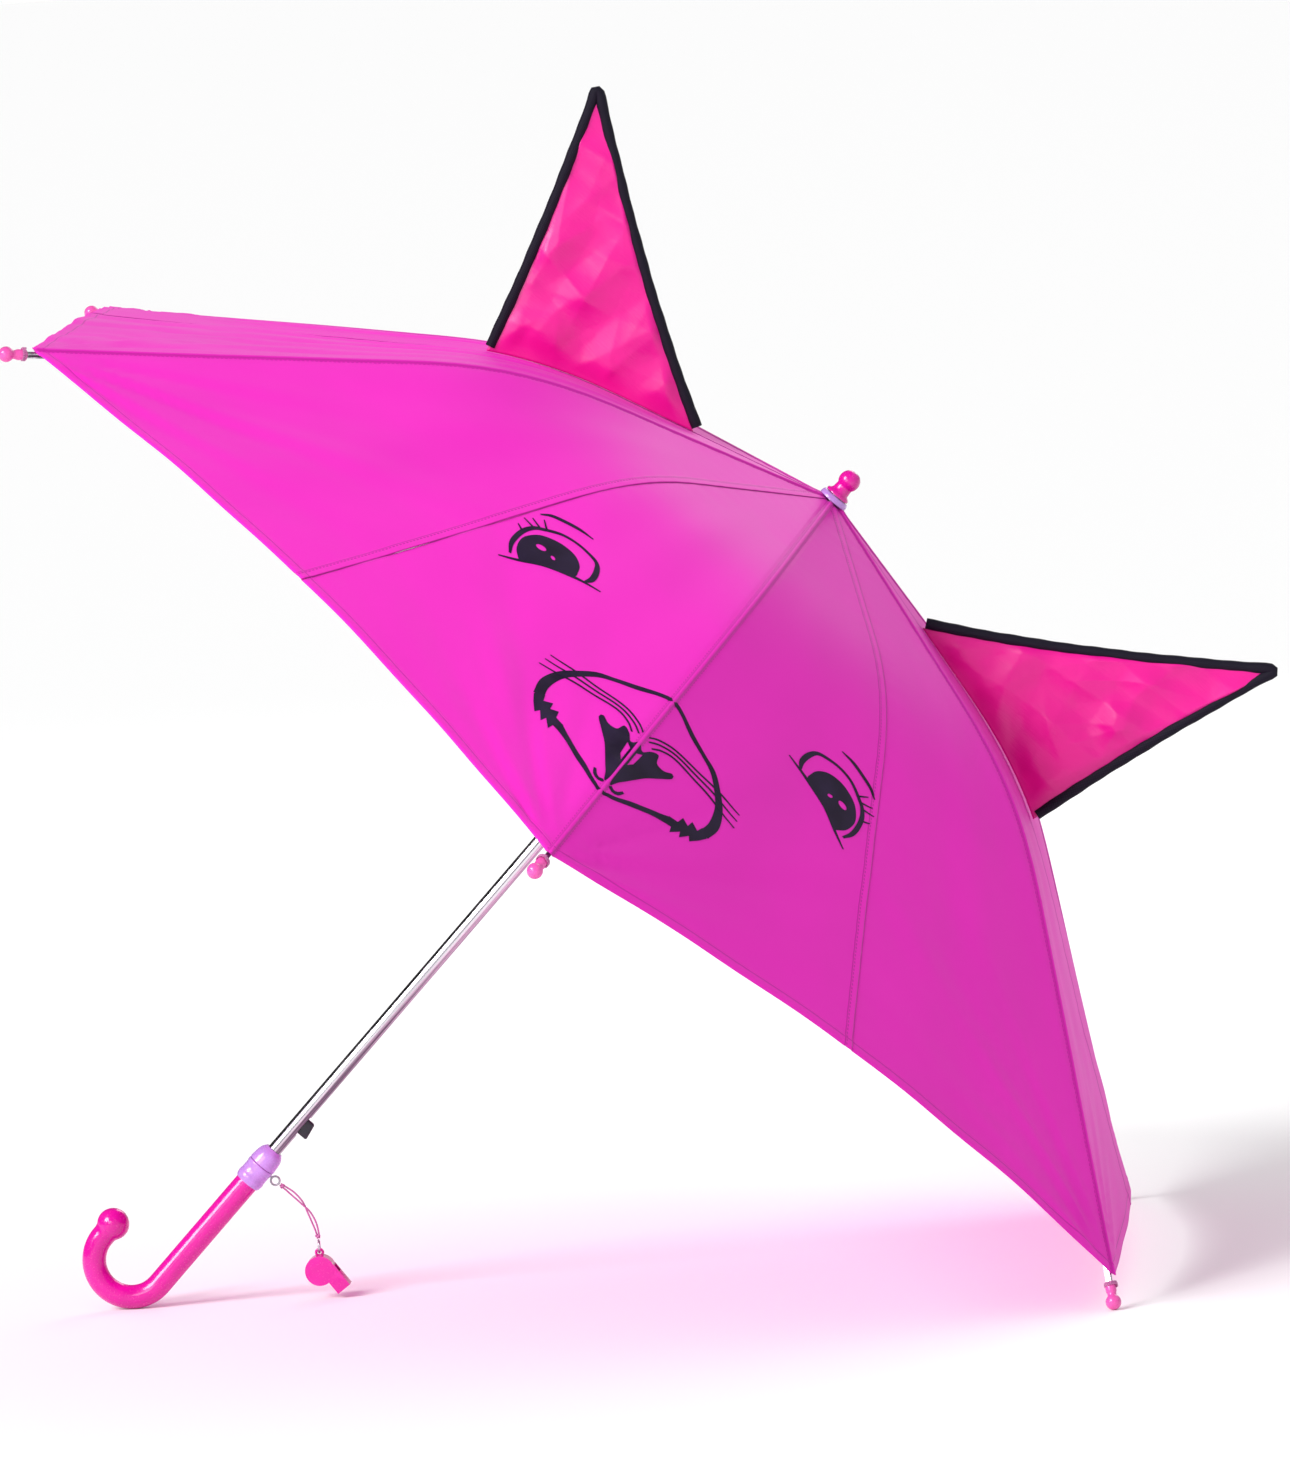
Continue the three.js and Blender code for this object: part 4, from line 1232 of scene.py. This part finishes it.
# %% Rib tips, and a rivet at each end of a stretcher
tip_profile = [(2.4, -11.5), (2.9, -11.3), (3.0, -10.9), (3.0, -6.4), (2.8, -5.8), (2.5, -4.9), (2.5, -3.9)]
tip_master = turned("rib_tip_master", tip_profile + ball_rings(4.3, 0, -52, 90, 14), 28)
tip_r, tip_z = rib_point(500)
tip_master.matrix_world = (Matrix.Translation((float(tip_r), 0, float(tip_z)))
                           @ Matrix.Rotation(math.pi / 2 + float(slope_at(500)), 4, "Y"))
rivet_master = turned("rivet_master", [
    (0.5, -3.3), (1.2, -3.1), (1.5, -2.75), (1.5, -2.5), (0.7, -2.45), (0.7, 2.45), (1.5, 2.5), (1.5, 2.75),
    (1.2, 3.1), (0.0, 3.3),
], 20)
elbow_r, elbow_z = (float(value) for value in rib_point(205))
RIVETS = {"elbow": (elbow_r, 0, elbow_z), "runner": (PIVOT_R, 0, RUNNER_Z)}
for arm in range(1, RIBS + 1):
    tip = copied(tip_master, f"rib_tip_ball_{arm}")
    dress(lay(tip, arm), TIP_PINK, "magenta_plastic", f"rib_arm_{arm}", f"rib_tip_{arm}")
    for end, place in RIVETS.items():
        rivet = copied(rivet_master, f"{end}_rivet_{arm}")
        rivet.matrix_world = Matrix.Translation(place) @ Matrix.Rotation(math.pi / 2, 4, "X")
        dress(lay(rivet, arm), ZINC, "zinc_steel", f"stretcher_arm_{arm}")
for master in (tip_master, rivet_master):
    bpy.data.objects.remove(master)
print("tips and rivets fitted")

# %% Release button
BUTTON_SIZE = (8.4, 3.2, 10)
BUTTON_MIDDLE = Vector((5.6, 0, -463))
BUTTON_SLANT = 1.8
clear_selection()
button = block("release_catch", BUTTON_SIZE, BUTTON_MIDDLE)
for v in button.data.vertices:
    if v.co.x > BUTTON_MIDDLE.x and v.co.z > BUTTON_MIDDLE.z:
        v.co.x -= BUTTON_SLANT
apply_modifier(button, "BEVEL", width=1.3, segments=6, limit_method="NONE")
smooth(button, 60)
dress(lay(button), BLACK, "black_plastic", "button", "release_button")
print("button stands", round(9.8 - 4.0, 1), "mm out of the shaft")

# %% [markdown]
# ## The whistle on its cord
# A doubled string hangs from a wire eyelet in the collar, and a split ring joins it to a pea whistle. Its
# two strands open into narrow loops and cross halfway. The string is short and limp, so it leaves the
# eyelet sideways and bends straight down under the whistle's weight.

# %% Cord, with its route in steps from the eyelet's centre
CORD_ROUTE = [
    (2.7, -2.3), (5.9, -4.8), (9.3, -7.8), (12.6, -11.3), (15.6, -15.3), (18.2, -19.8),
    (20.2, -24.6), (21.6, -29.4), (22.3, -34.2),
]
EYELET = (11.6, 0, -497)
HANG = Matrix.Translation(world(*EYELET)) @ Matrix.Scale(MM, 4)


def hang(obj):
    bpy.context.view_layer.update()
    obj.data.transform(HANG @ obj.matrix_world)
    obj.matrix_world = Matrix.Identity(4)
    return obj


route = drawn(CORD_ROUTE, 0.5)
cord_line = np.stack((route[:, 0], route[:, 0] * 0, route[:, 1]), -1)


def joined(name, parts):
    clear_selection()
    for part in parts:
        part.select_set(True)
    bpy.context.view_layer.objects.active = parts[0]
    bpy.ops.object.join()
    parts[0].name = name
    return parts[0]


def ply(phase):
    ahead = unit(np.gradient(cord_line, axis=0))
    across = unit(np.cross(ahead, (0, 1, 0)))
    share = np.linspace(0, 1, len(cord_line))
    angle = math.pi * soft_step(share, 0.36, 0.64) + phase
    apart = (0.56 + 0.5 * np.sin(2 * math.pi * share) ** 2)[:, None]
    offset = apart * (np.cos(angle)[:, None] * across + np.sin(angle)[:, None] * np.array((0.0, 1.0, 0.0)))
    return sweep("ply", cord_line + offset, np.full(len(cord_line), 0.52), 10)


cord = joined("whistle_string", [ply(0), ply(math.pi)])
dress(hang(cord), YARN, "cord_yarn", "hanging_whistle", "whistle_cord")


# %% Eyelet, split ring and knots
def wire_loop(name, radius, wire, turns, spread, normal_x):
    angle = np.linspace(0, 2 * math.pi * turns, int(40 * turns))
    drift = np.linspace(-spread, spread, len(angle))
    flat = np.stack((radius * np.sin(angle), drift, radius * np.cos(angle)), -1)
    if normal_x:
        flat = flat[:, [1, 0, 2]]
    return sweep(name, flat, np.full(len(angle), wire), 12)


# Three turns of thread bind each corner of the canopy to its tip.
binding_master = wire_loop("binding_master", 3.5, 0.36, 3.0, 1.1, False)
bind_r, bind_z = (float(value) for value in rib_point(490.5))
binding_master.matrix_world = (Matrix.Translation((bind_r, 0, bind_z + 0.5))
                               @ Matrix.Rotation(float(slope_at(490)), 4, "Y")
                               @ Matrix.Rotation(math.pi / 2, 4, "Z"))
for arm in range(1, RIBS + 1):
    binding = copied(binding_master, f"corner_thread_{arm}")
    dress(lay(binding, arm), YARN, "cord_yarn", f"rib_arm_{arm}")
bpy.data.objects.remove(binding_master)

RING_AT = (22.3, 0, -38.7)
eyelet = wire_loop("collar_eyelet", 2.5, 0.6, 1.02, 0.0, False)
stem = sweep("stem", np.array(((-4.3, 0, 0), (-3.4, 0, 0), (-2.5, 0, 0))), np.full(3, 0.6), 12)
eyelet = joined("collar_eyelet", [eyelet, stem])
eyelet.location = EYELET
dress(lay(eyelet), ZINC, "zinc_steel", "frame", "cord_eyelet")
split_ring = wire_loop("split_ring", 3.6, 0.45, 1.85, 0.42, True)
split_ring.location = RING_AT
dress(hang(split_ring), ZINC, "zinc_steel", "hanging_whistle", "whistle_ring")


def knot(name, end, ahead):
    """A small overhand knot: a bead of three crossing loops of the same string."""
    angle = np.linspace(0, 2 * math.pi, 60)
    path = np.stack((
        np.sin(angle) + 2 * np.sin(2 * angle), np.cos(angle) - 2 * np.cos(2 * angle), -np.sin(3 * angle),
    ), -1) * 0.42
    made = sweep(name, path, np.full(60, 0.46), 10)
    made.matrix_world = Matrix.Translation(end) @ Vector(ahead).to_track_quat("Z", "Y").to_matrix().to_4x4()
    return hang(made)


upper_knot = knot("string_knot_upper", cord_line[3], cord_line[4] - cord_line[0])
lower_knot = knot("string_knot_lower", cord_line[-4], cord_line[-1] - cord_line[-5])
for made in (upper_knot, lower_knot):
    dress(made, YARN, "cord_yarn", "hanging_whistle")

# %% Pea whistle
WHISTLE_R = 8.4
clear_selection()
bpy.ops.mesh.primitive_cylinder_add(vertices=64, radius=WHISTLE_R, depth=12, rotation=(math.pi / 2, 0, 0))
whistle = bpy.context.object
whistle.name = "pea_whistle"
bpy.ops.object.transform_apply(rotation=True)
mouth = block("mouth", (14.4, 12, 8.6), (9.4, 0, 4.1))
lug = wire_loop("lug", 1.9, 0.8, 1.02, 0.0, False)
lug.location = (-8.0, 0, 5.82)
for extra in (mouth, lug):
    apply_modifier(whistle, "BOOLEAN", operation="UNION", object=extra, solver="EXACT")
    bpy.data.objects.remove(extra)
window = block("window", (4.6, 8.6, 9), (4.9, 0, 6.6))
cut(whistle, window)
cut(whistle, block("air_slot", (12, 8.8, 2.4), (14, 0, 5.6)))
apply_modifier(whistle, "BEVEL", width=0.45, segments=3, limit_method="ANGLE", angle_limit=math.radians(45))
smooth(whistle, 35)
whistle.matrix_world = Matrix.Translation((22.3, 0, -52.1)) @ Matrix.Rotation(math.radians(54), 4, "Y")
dress(hang(whistle), MAGENTA, "magenta_plastic", "hanging_whistle", "whistle")

# %% [markdown]
# ## Tie strap
# A narrow band of the same cloth is sewn to the back gore at its hem and wraps the closed umbrella, held by a
# press stud. It lies along the hem when the umbrella is open, so it follows the gore's own creases.

# %% Strap and stud
STRAP_LENGTH = 110
STRAP_WIDTH = 18
STRAP_IN = 0.12
STRAP_BAY = 210
STRAP_AT = 0.93
strap_u, strap_t = np.meshgrid(np.linspace(0, 1, 13), np.linspace(0, 1, 60), indexing="ij")
round_end = np.sqrt(np.clip(1 - np.clip((strap_t - 0.93) / 0.07, 0, 1) ** 2, 0.04, 1))
strap_v = STRAP_IN + strap_t * STRAP_LENGTH / STRAP_BAY
strap_share = STRAP_AT + (0.5 + (strap_u - 0.5) * round_end) * STRAP_WIDTH / CLOTH_END
strap_s = CLOTH_START + strap_share * (hem_at(strap_v) - CLOTH_START)
edge = np.minimum(strap_u, 1 - strap_u) * STRAP_WIDTH
strap_points = cloth_point(4, 1, strap_s, strap_v) + cloth_normal(1, strap_s, strap_v) * (
    0.9 + 0.25 * np.exp(-((edge / 1.4) ** 2)) + 0.3 * np.sin(strap_t * 19))[..., None]
strap = sheet_from("tie_strap_band", strap_points, strap_t * STRAP_LENGTH, strap_u * STRAP_WIDTH, True)
for name, values in (("from_rib", edge * 0 + 90), ("from_seam", edge * 0 + 90), ("from_hem", edge + 4.2)):
    write_attribute(strap.data, name, values)
thicken(strap, 0.5)
dress(lay(strap, 4), CLOTH, "canopy_cloth", "rib_arm_4", "tie_strap")
gather(strap)

stud = turned("strap_stud", [(4.6, 0), (5.0, 0.25), (5.0, 0.8), (4.2, 1.3), (3.4, 1.2), (2.2, 1.7),
    (1.0, 1.95), (0, 2.0)], 40)
stud_v = np.array([STRAP_IN + STRAP_AT * STRAP_LENGTH / STRAP_BAY])
stud_s = CLOTH_START + (STRAP_AT + 0.5 * STRAP_WIDTH / CLOTH_END) * (hem_at(stud_v) - CLOTH_START)
stud_normal = Vector(cloth_normal(1, stud_s, stud_v)[0])
stud_at = Vector(cloth_point(4, 1, stud_s, stud_v, 1.3)[0])
stud.matrix_world = Matrix.Translation(stud_at) @ stud_normal.to_track_quat("Z", "Y").to_matrix().to_4x4()
dress(lay(stud, 4), ZINC, "zinc_steel", "rib_arm_4")
gather(stud)
print("strap sewn to gore 4")

# %% [markdown]
# ## The frame's own parts
# Ribs, stretchers, the stop ring, the spring and its seat already have their real shape, so they keep it
# and take the steel finish.

# %% Steel for the parts kept
for name, obj in frame["nodes"].items():
    if obj.hide_render:
        continue
    obj.data.materials.clear()
    obj.data.materials.append(ZINC)
    if not name[-1].isdigit():
        print("kept", name)
